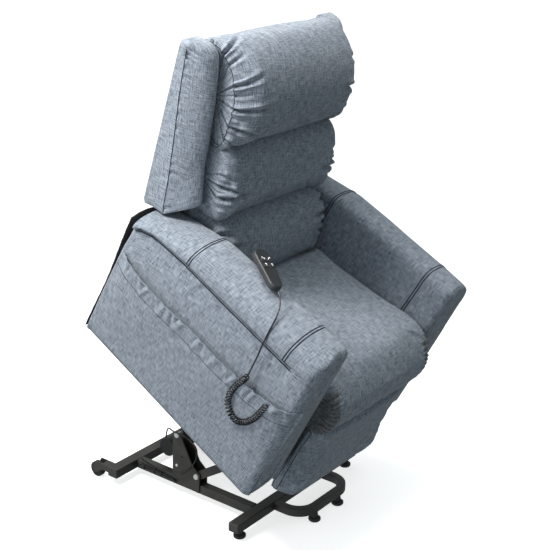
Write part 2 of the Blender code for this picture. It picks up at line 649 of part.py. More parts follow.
def build_back(chair, shift):
    recline = axis_empty("recline_axis", plus3(shift, RECLINE_AXIS), chair)
    keep = {"parent": recline, "offset": on(RECLINE_AXIS)}
    panel = [(-BACK_HALF, -0.135), (BACK_HALF, -0.135), (BACK_HALF, 0.455), (-BACK_HALF, 0.455)]
    frame = back_slab("back_frame", "plywood", panel, 0.032, 0.0065, **keep)
    y, z = RECLINE_AXIS
    tab = [(y - 0.013, z - 0.013), (y + 0.013, z - 0.013), (0.678, 0.395), (0.678, 0.470), (0.662, 0.470),
           (y - 0.013, z + 0.013)]
    for edge in (-BACK_HALF, BACK_HALF - 0.010):
        join(frame, prism_x("tab", "plywood", tab, edge, edge + 0.010, **keep))
    lever = plus(RECLINE_AXIS, (math.cos(LEVER_ANGLE), math.sin(LEVER_ANGLE)), LEVER_RADIUS)
    arm = [plus(lever, (-0.011, -0.009)), plus(lever, (0.010, -0.009)), (0.666, 0.330), (0.680, 0.400),
           (0.662, 0.410), (0.625, 0.350)]
    for edge in (-0.0125, 0.0055):
        join(frame, prism_x("lever", "plywood", arm, BACK_MOTOR_X + edge, BACK_MOTOR_X + edge + 0.007,
                            **keep))
    join(frame, rod_x("shaft", "plywood", RECLINE_AXIS, PIN_RADIUS, -0.2475, 0.2475, sides=16, **keep))
    cover = [(-0.252, -0.125), (0.252, -0.125), (0.252, 0.012), (0.334, 0.030), (0.334, 0.470),
             (0.310, 0.490), (-0.310, 0.490), (-0.334, 0.470), (-0.334, 0.030), (-0.252, 0.012)]
    back_slab("back_outer_cover", "fabric", cover, 0.0060, 0.0, **keep)
    build_wings(keep)
    build_back_cushions(keep)


def build_wings(keep):
    """Upright bolsters at both sides of the back; each foot is an arc about the recline axis."""
    steps = [(0.0, WING_SEAM, 0.074), (0.12, 0.074, 0.074), (0.24, 0.060, 0.082), (0.36, 0.044, 0.084),
             (0.44, 0.036, 0.078), (0.485, 0.031, 0.070), (0.510, 0.027, 0.052)]
    for name, side in sides("wing"):
        rings = []
        for rise, deep, puff in steps:
            section = [(WING_OUT, 0.0065), (WING_OUT, deep), (WING_OUT - 0.012, deep + 0.45 * puff),
                       (WING_OUT - 0.028, deep + 0.80 * puff), (WING_OUT - 0.048, deep + puff),
                       (WING_IN + 0.002, deep + 0.82 * puff), (WING_IN, deep + 0.3 * puff), (WING_IN, 0.0065)]
            ring = [back_point(side * x, rise, depth) for x, depth in section]
            if rise == 0.0:
                ring = [wing_foot(point) for point in ring]
            rings.append(ring)
        loft(name, "fabric", rings, smooth=True, **keep)


def wing_foot(point):
    """The foot clears the arm pad: an arc about the recline axis, then a slope up to the front."""
    x, y, _ = point
    seam = BACK_FOOT[0] - WING_SEAM * math.cos(BACK_LEAN)
    behind = max(y, seam) - RECLINE_AXIS[0]
    arc = RECLINE_AXIS[1] + math.sqrt(WING_ARC ** 2 - behind ** 2)
    return (x, y, arc + WING_SLOPE * max(0, seam - y))


def build_back_cushions(keep):
    head = [(0.738, 0.806), (0.625, 0.787), (0.590, 0.797), (0.573, 0.835), (0.576, 0.905), (0.598, 0.965),
            (0.640, 1.013), (0.700, 1.040), (0.760, 1.034), (0.797, 1.010), (0.800, 0.983), (0.773, 0.970)]
    middle = [(0.733, 0.778), (0.620, 0.772), (0.575, 0.762), (0.548, 0.730), (0.528, 0.680), (0.508, 0.620),
              (0.512, 0.588), (0.540, 0.572), (0.690, 0.572)]
    lumbar = [(0.684, 0.560), (0.560, 0.560), (0.500, 0.548), (0.465, 0.525), (0.440, 0.480), (0.428, 0.430),
              (0.424, 0.395), (0.440, 0.384), (0.560, 0.386), (0.600, 0.398), (0.638, 0.480)]
    for name, outline, half in (("head_cushion", head, 0.264), ("middle_cushion", middle, 0.262),
                                ("lumbar_cushion", lumbar, 0.254)):
        bevel(prism_x(name, "fabric", outline, -half, half, **keep), 0.010)


# Handset, cords and power ------------------------------------------------------------------------------

def build_handset(chair, shift):
    x, y, z = HANDSET_SPOT
    wide, long, thick = HANDSET_SIZE
    frame = axis_empty("handset_axis", (x, y + shift[1], z + shift[2]), chair)
    frame.rotation_euler = (0, 0, HANDSET_TURN)
    outline = arc((0, long / 2 - wide / 2), wide / 2, 0, 180, 10)
    outline += arc((0, wide / 2 - long / 2), wide / 2 * 0.86, 190, 350, 10)
    rings = []
    for height, shrink in ((0.0, 0.86), (0.004, 0.97), (0.011, 1.0), (thick - 0.003, 0.96), (thick, 0.86)):
        rings.append([(a * shrink, b * (1 - (1 - shrink) * wide / long), height) for a, b in outline])
    body = loft("handset_body", "handset_grey", rings, smooth=True, parent=frame)
    for number, (a, b) in enumerate(button_spots()):
        cut(body, stack("well", "handset_grey", (a, b, thick - 0.003), [(0, BUTTON_RADIUS + 0.0004),
                        (0.01, BUTTON_RADIUS + 0.0004)], sides=16, parent=frame))
        levels = [(0, BUTTON_RADIUS), (0.0024, BUTTON_RADIUS), (0.0030, BUTTON_RADIUS - 0.0008)]
        spot = (a, b, thick - 0.003 + 0.0014)
        stack(f"handset_button_{number + 1}", "button_grey", spot, levels, sides=16, parent=frame)


def button_spots():
    """Centres of the two by two buttons on the handset's face."""
    return [(a, b) for b in (0.030, 0.006) for a in (-0.0095, 0.0095)]


def build_handset_cord(chair, shift):
    """The straight part over the arm, then the curly part in a loop that ends in the pocket's mouth."""
    keep = {"parent": chair, "offset": shift}
    route = [(-0.3310, 0.2120, 0.6115), (-0.3370, 0.2000, 0.6110), (-0.3480, 0.1840, 0.6075),
             (-0.3640, 0.1680, 0.5960), (-0.3800, 0.1560, 0.5770), (-0.3950, 0.1480, 0.5500),
             (-0.4050, 0.1420, 0.5150), (-0.4085, 0.1360, 0.4700), (-0.4140, 0.1310, 0.4350),
             (-0.4190, 0.1280, 0.4080)]
    tube("handset_cord", "cord_black", smooth_path(route, 4), CORD_RADIUS, **keep)
    loop = [(-0.4210, 0.1275, 0.4040), (-0.4215, 0.1300, 0.3850), (-0.4215, 0.1400, 0.3500),
            (-0.4215, 0.1440, 0.3150), (-0.4215, 0.1370, 0.2830), (-0.4215, 0.1160, 0.2600),
            (-0.4215, 0.0880, 0.2560), (-0.4215, 0.0640, 0.2740), (-0.4215, 0.0480, 0.3050),
            (-0.4215, 0.0400, 0.3400), (-0.4215, 0.0360, 0.3780)]
    tube("handset_coil", "cord_black", smooth_path(loop, 3), COIL_RADIUS, **keep)


def build_power():
    box("power_box", "black_plastic", (0.040, 0.300, 0.032),
        (0.160, REAR_BAR_Y - BAR_HALF_WIDTH - GAP, 0.072))
    route = [(-0.150, 0.3000, 0.1460), (-0.158, 0.2900, 0.1700), (-0.180, 0.2600, 0.2050),
             (-0.2185, 0.2000, 0.2270), (-0.2235, 0.1450, 0.2280), (-0.2225, 0.1080, 0.2050),
             (-0.2225, 0.1030, 0.1720), (-0.2225, 0.1244, 0.1320), (-0.2225, 0.1732, 0.0860),
             (-0.2200, 0.2179, 0.0680), (-0.2130, 0.2720, 0.0660), (-0.2080, 0.3263, 0.0670),
             (-0.2000, 0.3700, 0.0680)]
    tube("actuator_cable", "cord_black", smooth_path(route, 4), 0.0025)


def main():
    for made in list(bpy.data.objects):
        bpy.data.objects.remove(made)
    build_base_frame()
    build_front_loop()
    build_feet()
    build_wheels()
    build_stanchions()
    build_links()
    chair = axis_empty("tilt_axis", (0, *LOWER_END), turn=TILT)
    shift = on(TILT_PIVOT)
    build_actuator("lift_actuator", "black_plastic", LIFT_MOTOR_PIVOT, raised(LIFT_LUG), 0.0, -0.150, 0.330,
                   None, 0.0055, True)
    back_shift = axis_empty("chair_corner", shift, chair)
    lever = plus(RECLINE_AXIS, (math.cos(LEVER_ANGLE), math.sin(LEVER_ANGLE)), LEVER_RADIUS)
    build_actuator("back_actuator", "black_plastic", BACK_MOTOR_PIVOT, lever, BACK_MOTOR_X, 0.125, 0.280,
                   back_shift, 0.0045, False)
    build_chassis(chair, shift)
    build_arms(chair, shift)
    build_pocket(chair, shift)
    build_seat(chair, shift)
    build_legrest(chair, shift)
    build_back(chair, shift)
    build_handset(chair, shift)
    build_handset_cord(chair, shift)
    build_power()


main()
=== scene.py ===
"""Looks of the lift recliner chair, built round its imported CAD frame, in metres.

The chair's soft pieces are drawn in the level chair's own (x, y, z), as when it is lowered, and CHAIR
places them in the raised rest pose. Each closed soft shape is a stack of rings with the same number of
points; the first and last rings close on a point.
"""

import json
import math

import bpy
import numpy as np
from mathutils import Matrix, Vector


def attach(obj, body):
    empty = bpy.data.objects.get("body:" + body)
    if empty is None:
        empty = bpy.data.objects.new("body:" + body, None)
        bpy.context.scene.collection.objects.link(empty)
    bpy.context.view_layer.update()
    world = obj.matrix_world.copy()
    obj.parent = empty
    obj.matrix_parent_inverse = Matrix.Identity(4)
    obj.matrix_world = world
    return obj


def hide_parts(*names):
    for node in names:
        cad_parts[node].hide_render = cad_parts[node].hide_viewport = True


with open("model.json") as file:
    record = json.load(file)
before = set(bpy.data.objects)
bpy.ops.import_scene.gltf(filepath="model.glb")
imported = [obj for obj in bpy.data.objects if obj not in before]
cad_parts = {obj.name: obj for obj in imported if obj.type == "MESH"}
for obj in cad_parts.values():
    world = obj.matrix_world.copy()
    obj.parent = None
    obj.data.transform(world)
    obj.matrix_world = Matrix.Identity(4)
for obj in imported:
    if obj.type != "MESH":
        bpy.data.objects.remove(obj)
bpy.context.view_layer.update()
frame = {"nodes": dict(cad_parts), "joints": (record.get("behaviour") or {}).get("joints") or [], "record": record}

# The level chair's own frame, found from its joints -------

RECLINE_AXIS = (0.633, 0.359)
BACK_FOOT = (0.716, 0.503)
BACK_LEAN = math.radians(12.2)
SIDES = (("left", 1), ("right", -1))


def joint(name):
    return next(item for item in frame["joints"] if item["name"] == name)


def chair_frame():
    """The matrix from the level chair to the raised one: the buttons press straight down into it."""
    down = joint("handset_button_1_press")["axis"]
    turn = Matrix.Rotation(math.atan2(down[1], -down[2]), 4, "X")
    pivot = Vector(joint("recline")["pos_m"])
    return Matrix.Translation(pivot - turn @ Vector((0, *RECLINE_AXIS))) @ turn


CHAIR = chair_frame()


# Camera, light and floor ----------------------------------

AZIMUTH = math.radians(-52.49)
ELEVATION = math.radians(20.14)
ROLL = math.radians(0.53)
TARGET = Vector((0, -0.0285, 0.746))
DISTANCE = 3.6606
LENS = 78.75
FLOOR_HALF = 60
BRIGHT_SIDE = (-0.45, 0.50, 0.74)


def placed(name, data):
    """A new object in the scene."""
    made = bpy.data.objects.new(name, data)
    bpy.context.scene.collection.objects.link(made)
    return made


def make_camera():
    back = Vector((math.sin(AZIMUTH) * math.cos(ELEVATION), -math.cos(AZIMUTH) * math.cos(ELEVATION),
                   math.sin(ELEVATION)))
    right = Vector((math.cos(AZIMUTH), math.sin(AZIMUTH), 0))
    up = back.cross(right)
    right, up = right * math.cos(ROLL) + up * math.sin(ROLL), up * math.cos(ROLL) - right * math.sin(ROLL)
    data = bpy.data.cameras.new("camera")
    data.sensor_width = 36
    data.lens = LENS
    camera = placed("camera", data)
    turn = Matrix((right, up, back)).transposed().to_4x4()
    camera.matrix_world = Matrix.Translation(TARGET + back * DISTANCE) @ turn
    bpy.context.scene.camera = camera


def make_world():
    """Soft light, brightest from behind the person's right shoulder, dimmest from the front below."""
    world = bpy.data.worlds.new("studio")
    bpy.context.scene.world = world
    world.use_nodes = True
    tree = world.node_tree
    direction = tree.nodes.new("ShaderNodeTexCoord")
    toward = tree.nodes.new("ShaderNodeVectorMath")
    toward.operation = "DOT_PRODUCT"
    toward.inputs[1].default_value = BRIGHT_SIDE
    shade = tree.nodes.new("ShaderNodeMapRange")
    tree.links.new(direction.outputs["Generated"], toward.inputs[0])
    tree.links.new(toward.outputs["Value"], shade.inputs["Value"])
    for socket, value in (("From Min", -0.75), ("From Max", 0.75), ("To Min", 0.25), ("To Max", 0.60)):
        shade.inputs[socket].default_value = value
    tree.nodes["Background"].inputs["Color"].default_value = (0.90, 0.99, 1, 1)
    tree.links.new(shade.outputs[0], tree.nodes["Background"].inputs["Strength"])


def area_light(name, place, target, size, power, colour):
    data = bpy.data.lights.new(name, "AREA")
    data.energy = power
    data.size = size
    data.color = colour
    lamp = placed(name, data)
    lamp.location = place
    lamp.rotation_euler = (Vector(target) - Vector(place)).to_track_quat("-Z", "Y").to_euler()


def make_lamps():
    area_light("key_light", (-1.40, 0.60, 2.65), (-0.1, 0, 0.8), 0.8, 76, (1.0, 0.975, 0.92))
    area_light("low_light", (-2.7, 0.5, 0.45), (-0.4, 0, 0.45), 1.2, 15, (1.0, 1.0, 1.0))
    area_light("top_light", (0.0, -0.20, 3.5), (0, 0, 0.8), 1.2, 46, (1.0, 0.98, 0.93))


def make_floor():
    """A plain white floor that throws no light back onto the chair."""
    mesh = bpy.data.meshes.new("floor")
    far = FLOOR_HALF
    mesh.from_pydata([(-far, -far, 0), (far, -far, 0), (far, far, 0), (-far, far, 0)], [], [(0, 1, 2, 3)])
    floor = placed("floor", mesh)
    floor.visible_diffuse = False
    floor.visible_glossy = False
    shader = Shader("pale_floor")
    shader.set(Base_Color=(0.8, 0.8, 0.8, 1), Roughness=0.9, Specular_IOR_Level=0.0)
    shader.set(Emission_Color=(1, 1, 1, 1), Emission_Strength=0.68)
    mesh.materials.append(shader.material)


def make_studio():
    bpy.context.scene.view_settings.view_transform = "Standard"
    make_world()
    make_lamps()
    make_floor()


# Materials ------------------------------------------------

class Shader:
    """A material and its node tree, with short ways to add nodes and link them."""

    def __init__(self, name):
        self.material = bpy.data.materials.new(name)
        self.material.use_nodes = True
        self.tree = self.material.node_tree
        self.surface = self.tree.nodes["Principled BSDF"]
        self.coords = self.add("TexCoord").outputs

    def add(self, kind, inputs=None, **settings):
        node = self.tree.nodes.new("ShaderNode" + kind)
        for key, value in settings.items():
            setattr(node, key, value)
        for key, value in (inputs or {}).items():
            self.put(node.inputs[key], value)
        return node

    def put(self, socket, value):
        if isinstance(value, bpy.types.NodeSocket):
            self.tree.links.new(value, socket)
        else:
            socket.default_value = value

    def set(self, **inputs):
        for key, value in inputs.items():
            self.put(self.surface.inputs[key.replace("_", " ")], value)

    def scale_add(self, value, scale, more):
        inputs = {0: value, 1: scale, 2: more}
        return self.add("Math", inputs, operation="MULTIPLY_ADD").outputs[0]

    def scaled(self, vector, scale):
        return self.add("VectorMath", {0: vector, 1: scale}, operation="MULTIPLY").outputs[0]

    def noise(self, scale, detail, roughness=0.5, vector=None):
        place = self.coords["Object"] if vector is None else vector
        inputs = {"Vector": place, "Scale": scale, "Detail": detail, "Roughness": roughness}
        return self.add("TexNoise", inputs).outputs["Fac"]

    def ramp(self, value, *stops):
        node = self.add("ValToRGB", {"Fac": value})
        elements = node.color_ramp.elements
        while len(elements) < len(stops):
            elements.new(0.5)
        for element, (place, colour) in zip(elements, stops):
            element.position = place
            element.color = (*colour, 1)
        return node.outputs["Color"]

    def bump(self, height, distance, strength):
        inputs = {"Height": height, "Distance": distance, "Strength": strength}
        return self.add("Bump", inputs).outputs["Normal"]


# Stretch along both thread directions, scale and weight of each set of slubs.
SLUBS = ((1, 0.07, 470, 0.22), (0.07, 1, 470, 0.22), (1, 0.04, 900, 0.28), (0.04, 1, 900, 0.28))


def make_fabric(name, dark, light):
    """Blue-grey linen weave: long slubs along both thread directions, fine threads, and a broad wash."""
    shader = Shader(name)
    cloth = shader.coords["UV"]
    tone = 0.0
    for along, across, scale, weight in SLUBS:
        slubs = shader.noise(scale, 1, 0.6, shader.scaled(cloth, (along, across, 1)))
        tone = shader.scale_add(slubs, weight, tone)
    wash = shader.noise(7, 2, vector=cloth)
    colour = shader.scale_add(shader.scale_add(wash, 1.0, -0.5), 0.03, tone)
    middle = [(a + b) / 2 for a, b in zip(dark, light)]
    shader.set(Base_Color=shader.ramp(colour, (0.415, dark), (0.5, middle), (0.585, light)))
    threads = []
    for axis in ("X", "Y"):
        wave = shader.add("TexWave", {"Vector": cloth, "Scale": 330.0, "Distortion": 0.6, "Detail": 1.0,
                                      "Detail Scale": 1.0}, bands_direction=axis)
        threads.append(wave.outputs["Fac"])
    height = shader.scale_add(*threads, tone)
    shader.set(Roughness=0.92, Normal=shader.bump(height, 0.0006, 0.35))
    shader.set(Sheen_Weight=0.2, Sheen_Roughness=0.5, Specular_IOR_Level=0.2)
    return shader.material


def make_paint():
    """Black powder coat with a fine orange peel and slightly worn, dusty patches."""
    shader = Shader("black_powder_coat")
    patches = shader.noise(14, 4, 0.6)
    colour = shader.ramp(patches, (0.35, (0.026, 0.023, 0.021)), (0.75, (0.052, 0.047, 0.043)))
    shader.set(Base_Color=colour, Roughness=shader.scale_add(patches, 0.25, 0.28))
    shader.set(Normal=shader.bump(shader.noise(900, 2), 0.0004, 0.25))
    shader.set(Metallic=0.0, Specular_IOR_Level=0.45)
    return shader.material


def make_metal():
    shader = Shader("zinc_plate")
    grain = shader.noise(700, 3, 0.6)
    shader.set(Base_Color=shader.ramp(grain, (0.3, (0.62, 0.61, 0.58)), (0.7, (0.85, 0.84, 0.81))))
    shader.set(Roughness=shader.scale_add(grain, 0.25, 0.22))
    shader.set(Metallic=0.6)
    return shader.material


def make_plastic(name, colour, roughness, grain=600):
    shader = Shader(name)
    texture = shader.noise(grain, 2)
    lighter = [c * 1.35 + 0.004 for c in colour]
    shader.set(Base_Color=shader.ramp(shader.noise(25, 3, 0.6), (0.3, colour), (0.75, lighter)))
    shader.set(Roughness=shader.scale_add(texture, 0.12, roughness - 0.06))
    shader.set(Normal=shader.bump(texture, 0.0003, 0.3), Specular_IOR_Level=0.4)
    return shader.material


def make_cord_sheath():
    """Glossy black PVC, with faint smears."""
    shader = Shader("cord_sheath")
    smears = shader.noise(160, 3, 0.6)
    shader.set(Base_Color=shader.ramp(smears, (0.3, (0.002, 0.002, 0.003)), (0.8, (0.008, 0.008, 0.010))))
    shader.set(Roughness=shader.scale_add(smears, 0.20, 0.18))
    shader.set(Specular_IOR_Level=0.5, Coat_Weight=0.15, Coat_Roughness=0.2)
    return shader.material


def make_wood():
    shader = Shader("plywood")
    grain = shader.noise(6, 5, 0.65, shader.scaled(shader.coords["Object"], (1, 14, 14)))
    shader.set(Base_Color=shader.ramp(grain, (0.3, (0.34, 0.22, 0.12)), (0.7, (0.56, 0.40, 0.24))))
    shader.set(Roughness=0.7, Normal=shader.bump(grain, 0.0005, 0.3))
    return shader.material


def make_black_cloth():
    shader = Shader("black_dust_cloth")
    fibres = shader.noise(380, 4, 0.7)
    shader.set(Base_Color=shader.ramp(fibres, (0.3, (0.010, 0.010, 0.012)), (0.7, (0.030, 0.030, 0.034))))
    shader.set(Roughness=0.95, Normal=shader.bump(fibres, 0.0006, 0.4), Sheen_Weight=0.1)
    return shader.material


# By the CAD's material slots, and further ones for the looks alone.
MATERIALS = {
    "upholstery_fabric": make_fabric("upholstery_linen", (0.068, 0.088, 0.121), (0.338, 0.378, 0.442)),
    "painted_steel": make_paint(),
    "zinc_steel": make_metal(),
    "black_plastic": make_plastic("black_plastic", (0.018, 0.018, 0.019), 0.45),
    "wheel_rubber": make_plastic("black_rubber", (0.016, 0.016, 0.016), 0.75, 300),
    "handset_shell": make_plastic("handset_shell", (0.028, 0.029, 0.032), 0.5),
    "button_plastic": make_plastic("handset_buttons", (0.020, 0.021, 0.024), 0.5),
    "cord_sheath": make_cord_sheath(),
    "plywood": make_wood(),
    "black_cover_cloth": make_black_cloth(),
    # Darker, greyer cloth, partly thin lining and partly painted shade: the seat's gathered corners, the gap
    # strips and the legrest board.
    "gathered": make_fabric("lining_and_painted_shade", (0.045, 0.048, 0.054), (0.200, 0.205, 0.215)),
    "handset_face": make_plastic("handset_face", (0.009, 0.010, 0.012), 0.45),
    "symbol": make_plastic("button_print", (0.70, 0.71, 0.72), 0.5),
    # Near-black seam lines: the stitching, and painted shade in the seam grooves and under the arm pads' overhang.
    "thread": make_plastic("seam_thread_and_groove_shade", (0.010, 0.014, 0.024), 0.85, 900),
}
FABRIC = "upholstery_fabric"
MATERIALS["side_fabric"] = MATERIALS[FABRIC]


def dress_cad_nodes():
    for item in frame["record"]["subparts"]:
        node = frame["nodes"][item["node"]]
        node.data.materials.clear()
        node.data.materials.append(MATERIALS[item["material_slot"]])


def soften_edges():
    """Fine rounded edges on the steel, as rolled and coated steel has."""
    for item in frame["record"]["subparts"]:
        if item["material_slot"] not in ("painted_steel", "zinc_steel"):
            continue
        step = frame["nodes"][item["node"]].modifiers.new("Edge", "BEVEL")
        step.width = 0.0011
        step.segments = 2
        step.limit_method = "ANGLE"
        step.angle_limit = math.radians(50)


# Curves and rings -----------------------------------------

def running(steps):
    """Running totals of the steps, from 0."""
    return np.concatenate([[0], np.cumsum(steps)])


def steps(points, axis=0):
    """Distances between neighbouring points."""
    return np.linalg.norm(np.diff(points, axis=axis), axis=-1)


def extended(rows):
    """The rows with one more at both ends, straight on."""
    return np.concatenate([2 * rows[:1] - rows[1:2], rows, 2 * rows[-1:] - rows[-2:-1]])


def spline(points, count, closed=False):
    """Evenly spaced points on a smooth curve through the points."""
    points = np.array(points, float)
    padded = np.vstack([points[-1:], points, points[:2]]) if closed else extended(points)
    t = np.linspace(0, 1, 24, endpoint=False)[:, None]
    parts = []
    for a, b, c, d in zip(padded, padded[1:], padded[2:], padded[3:]):
        parts.append(0.5 * (2 * b + (c - a) * t + (2 * a - 5 * b + 4 * c - d) * t ** 2
                            + (3 * b - a - 3 * c + d) * t ** 3))
    fine = np.vstack(parts + [padded[-2][None]])
    along = running(steps(fine))
    wanted = np.linspace(0, along[-1], count, endpoint=not closed)
    return np.column_stack([np.interp(wanted, along, fine[:, k]) for k in range(fine.shape[1])])


def outward(loop):
    """Unit normals of a closed (y, z) loop, pointing out of it."""
    tangent = np.roll(loop, -1, 0) - np.roll(loop, 1, 0)
    tangent /= np.linalg.norm(tangent, axis=1)[:, None]
    normal = np.column_stack([tangent[:, 1], -tangent[:, 0]])
    middle = loop.mean(0)
    side = np.sign(((loop - middle) * normal).sum())
    return normal * side


def smoothstep(value, low, high):
    t = np.clip((value - low) / (high - low), 0, 1)
    return t * t * (3 - 2 * t)


def ring_object(name, rings, caps=(0, 0), cap_plane=(1, 2)):
    """A closed mesh through the rings. UVs are in metres: unrolled along the body, flat on the caps."""
    rings = np.asarray(rings, float)
    count, around = rings.shape[:2]
    points = np.vstack([rings.reshape(-1, 3), rings[0].mean(0)[None], rings[-1].mean(0)[None]])
    u = running(steps(rings).mean(1))
    widest = rings[count // 2]
    v = running(steps(np.vstack([widest, widest[:1]])))
    faces, coords = [], []
    for i in range(count - 1):
        flat = i < caps[0] or i >= count - 1 - caps[1]
        for j in range(around):
            k = (j + 1) % around
            face = (i * around + j, i * around + k, (i + 1) * around + k, (i + 1) * around + j)
            faces.append(face)
            if flat:
                coords += [points[p][list(cap_plane)] for p in face]
            else:
                coords += [(u[i], v[j]), (u[i], v[j + 1]), (u[i + 1], v[j + 1]), (u[i + 1], v[j])]
    for ring, pole in ((0, count * around), (count - 1, count * around + 1)):
        for j in range(around):
            k = (j + 1) % around
            face = (ring * around + k, ring * around + j, pole)
            if ring:
                face = face[::-1]
            faces.append(face)
            coords += [points[p][list(cap_plane)] for p in face]
    return closed_object(name, points, faces, coords)


def mesh_object(name, points, faces, coords):
    mesh = bpy.data.meshes.new(name)
    mesh.from_pydata([tuple(p) for p in points], [], faces)
    layer = mesh.uv_layers.new(name="UVMap")
    layer.data.foreach_set("uv", np.array(coords, np.float32).ravel())
    mesh.shade_smooth()
    return placed(name, mesh)


def closed_object(name, points, faces, coords):
    """A closed mesh whose faces look outwards."""
    made = mesh_object(name, points, faces, coords)
    mesh = made.data
    mesh.validate()
    mesh.calc_loop_triangles()
    points = np.array([v.co for v in mesh.vertices])
    corners = points[np.array([t.vertices for t in mesh.loop_triangles])]
    if np.linalg.det(corners).sum() < 0:
        mesh.flip_normals()
    return made


def grid_object(name, points, thickness):
    """An open sheet through a grid of points, given some thickness."""
    points = np.asarray(points, float)
    rows, columns = points.shape[:2]
    u = running(steps(points, 1).mean(0))
    v = running(steps(points).mean(1))
    faces, coords = [], []
    for i in range(rows - 1):
        for j in range(columns - 1):
            first = i * columns + j
            faces.append((first, first + 1, first + columns + 1, first + columns))
            coords += [(u[j], v[i]), (u[j + 1], v[i]), (u[j + 1], v[i + 1]), (u[j], v[i + 1])]
    made = mesh_object(name, points.reshape(-1, 3), faces, coords)
    step = made.modifiers.new("Thickness", "SOLIDIFY")
    step.thickness = thickness
    step.offset = 0
    return made


def ring_normals(rings):
    """Outward unit normals at each ring point."""
    across = np.gradient(rings, axis=0)
    around = np.roll(rings, -1, 1) - np.roll(rings, 1, 1)
    normal = np.cross(across, around)
    normal /= np.maximum(np.linalg.norm(normal, axis=2), 1e-12)[:, :, None]
    middle = rings.mean(1, keepdims=True)
    if (normal * (rings - middle)).sum() < 0:
        normal = -normal
    return normal


def finer(rings):
    """The rings with a new point midway between neighbours both ways, on a smooth curve."""
    around = np.repeat(rings, 2, 1)
    around[:, 1::2] = (9 * (rings + np.roll(rings, -1, 1)) - np.roll(rings, 1, 1)
                       - np.roll(rings, -2, 1)) / 16
    padded = extended(around)
    middle = (9 * (padded[1:-2] + padded[2:-1]) - padded[:-3] - padded[3:]) / 16
    made = np.empty((2 * len(around) - 1, *around.shape[1:]))
    made[::2] = around
    made[1::2] = middle
    return made


SIMULATED_FRAMES = 18
CLOTH = {"quality": 4, "mass": 0.25, "tension_stiffness": 12, "compression_stiffness": 12,
         "shear_stiffness": 4, "bending_stiffness": 0.3, "use_pressure": True}


def simulate(rings, pinned, pressure, grow, reach):
    """The rings swollen and creased as cloth, held at the pinned rings, no point moving further than reach.

    grow is the share of spare cloth, which buckles into folds beside the pinned seams.
    """
    made = ring_object("simulated", rings)
    group = made.vertex_groups.new(name="held")
    around = rings.shape[1]
    total = rings.shape[0] * around
    held = [i * around + j for i in pinned for j in range(around)]
    held += [total, total + 1]
    group.add(held, 1.0, "REPLACE")
    cloth = made.modifiers.new("Cloth", "CLOTH")
    settings = cloth.settings
    for key, value in CLOTH.items():
        setattr(settings, key, value)
    settings.uniform_pressure_force = pressure
    settings.shrink_min = -grow
    settings.effector_weights.gravity = 0
    settings.vertex_group_mass = "held"
    cloth.collision_settings.use_collision = False
    scene = bpy.context.scene
    cloth.point_cache.frame_end = SIMULATED_FRAMES
    for number in range(1, SIMULATED_FRAMES + 1):
        scene.frame_set(number)
    evaluated = made.evaluated_get(bpy.context.evaluated_depsgraph_get())
    moved = np.array([v.co for v in evaluated.data.vertices])[:total].reshape(rings.shape)
    scene.frame_set(1)
    bpy.data.objects.remove(made)
    shift = moved - rings
    length = np.maximum(np.linalg.norm(shift, axis=2), 1e-9)[:, :, None]
    return rings + shift * np.minimum(1, reach / length)


def dress(made, body, look, nodes=(), place=CHAIR):
    """Gives the piece its material, its body, and the CAD nodes it stands for, whose slot is its look."""
    made.matrix_world = place
    if not made.data.materials:
        made.data.materials.append(MATERIALS[look])
    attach(made, body)
    if nodes:
        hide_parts(*nodes)
    return made


def line_tube(name, points, radius, body, look="thread", place=CHAIR, closed=False):
    """A thin round line, such as a seam, piping or a wire; by default in the near-black thread, which also paints
    the shade of the seam grooves.
    """
    data = bpy.data.curves.new(name, "CURVE")
    data.dimensions = "3D"
    line = data.splines.new("POLY")
    line.points.add(len(points) - 1)
    for item, point in zip(line.points, points):
        item.co = (*point, 1.0)
    line.use_cyclic_u = closed
    data.bevel_depth = radius
    data.bevel_resolution = 2
    data.use_fill_caps = not closed
    return dress(placed(name, data), body, look, place=place)


# Cushions across the chair --------------------------------

def cushion_rings(outline, half, end=None, blend=0.07, spacing=0.008, around=0.008, end_round=0.03,
                  crown=0.01, cap_bulge=0.012, cap_steps=5):
    """Rings of a cushion that runs across the chair, and the numbers of its two end seams.

    end is the outline at both ends, with as many points as outline, if the cushion changes shape there.
    """
    length = steps(np.vstack([outline, outline[:1]])).sum()
    count = int(length / around)
    full = spline(outline, count, closed=True)
    last = spline(end or outline, count, closed=True)
    stations = np.linspace(-half, half, int(2 * half / spacing) + 1)
    body = []
    for x in stations:
        edge = min(half - abs(x), end_round)
        inset = end_round - math.sqrt(end_round ** 2 - (end_round - edge) ** 2)
        loop = full + (last - full) * smoothstep(abs(x), half - blend, half)
        section = loop + outward(loop) * (crown * (1 - (x / half) ** 2) - 0.7 * inset)
        body.append(np.column_stack([np.full(len(section), x), section]))
    caps = []
    middle = last.mean(0)
    for k in range(cap_steps):
        t = 1 - 0.92 * (k + 1) / cap_steps
        flat = middle + (body[0][:, 1:] - middle) * t
        caps.append((flat, half + cap_bulge * (1 - t ** 2)))
    low = [np.column_stack([np.full(len(f), -x), f]) for f, x in caps[::-1]]
    high = [np.column_stack([np.full(len(f), x), f]) for f, x in caps]
    rings = np.array(low + body + high)
    return rings, (cap_steps, cap_steps + len(body) - 1)


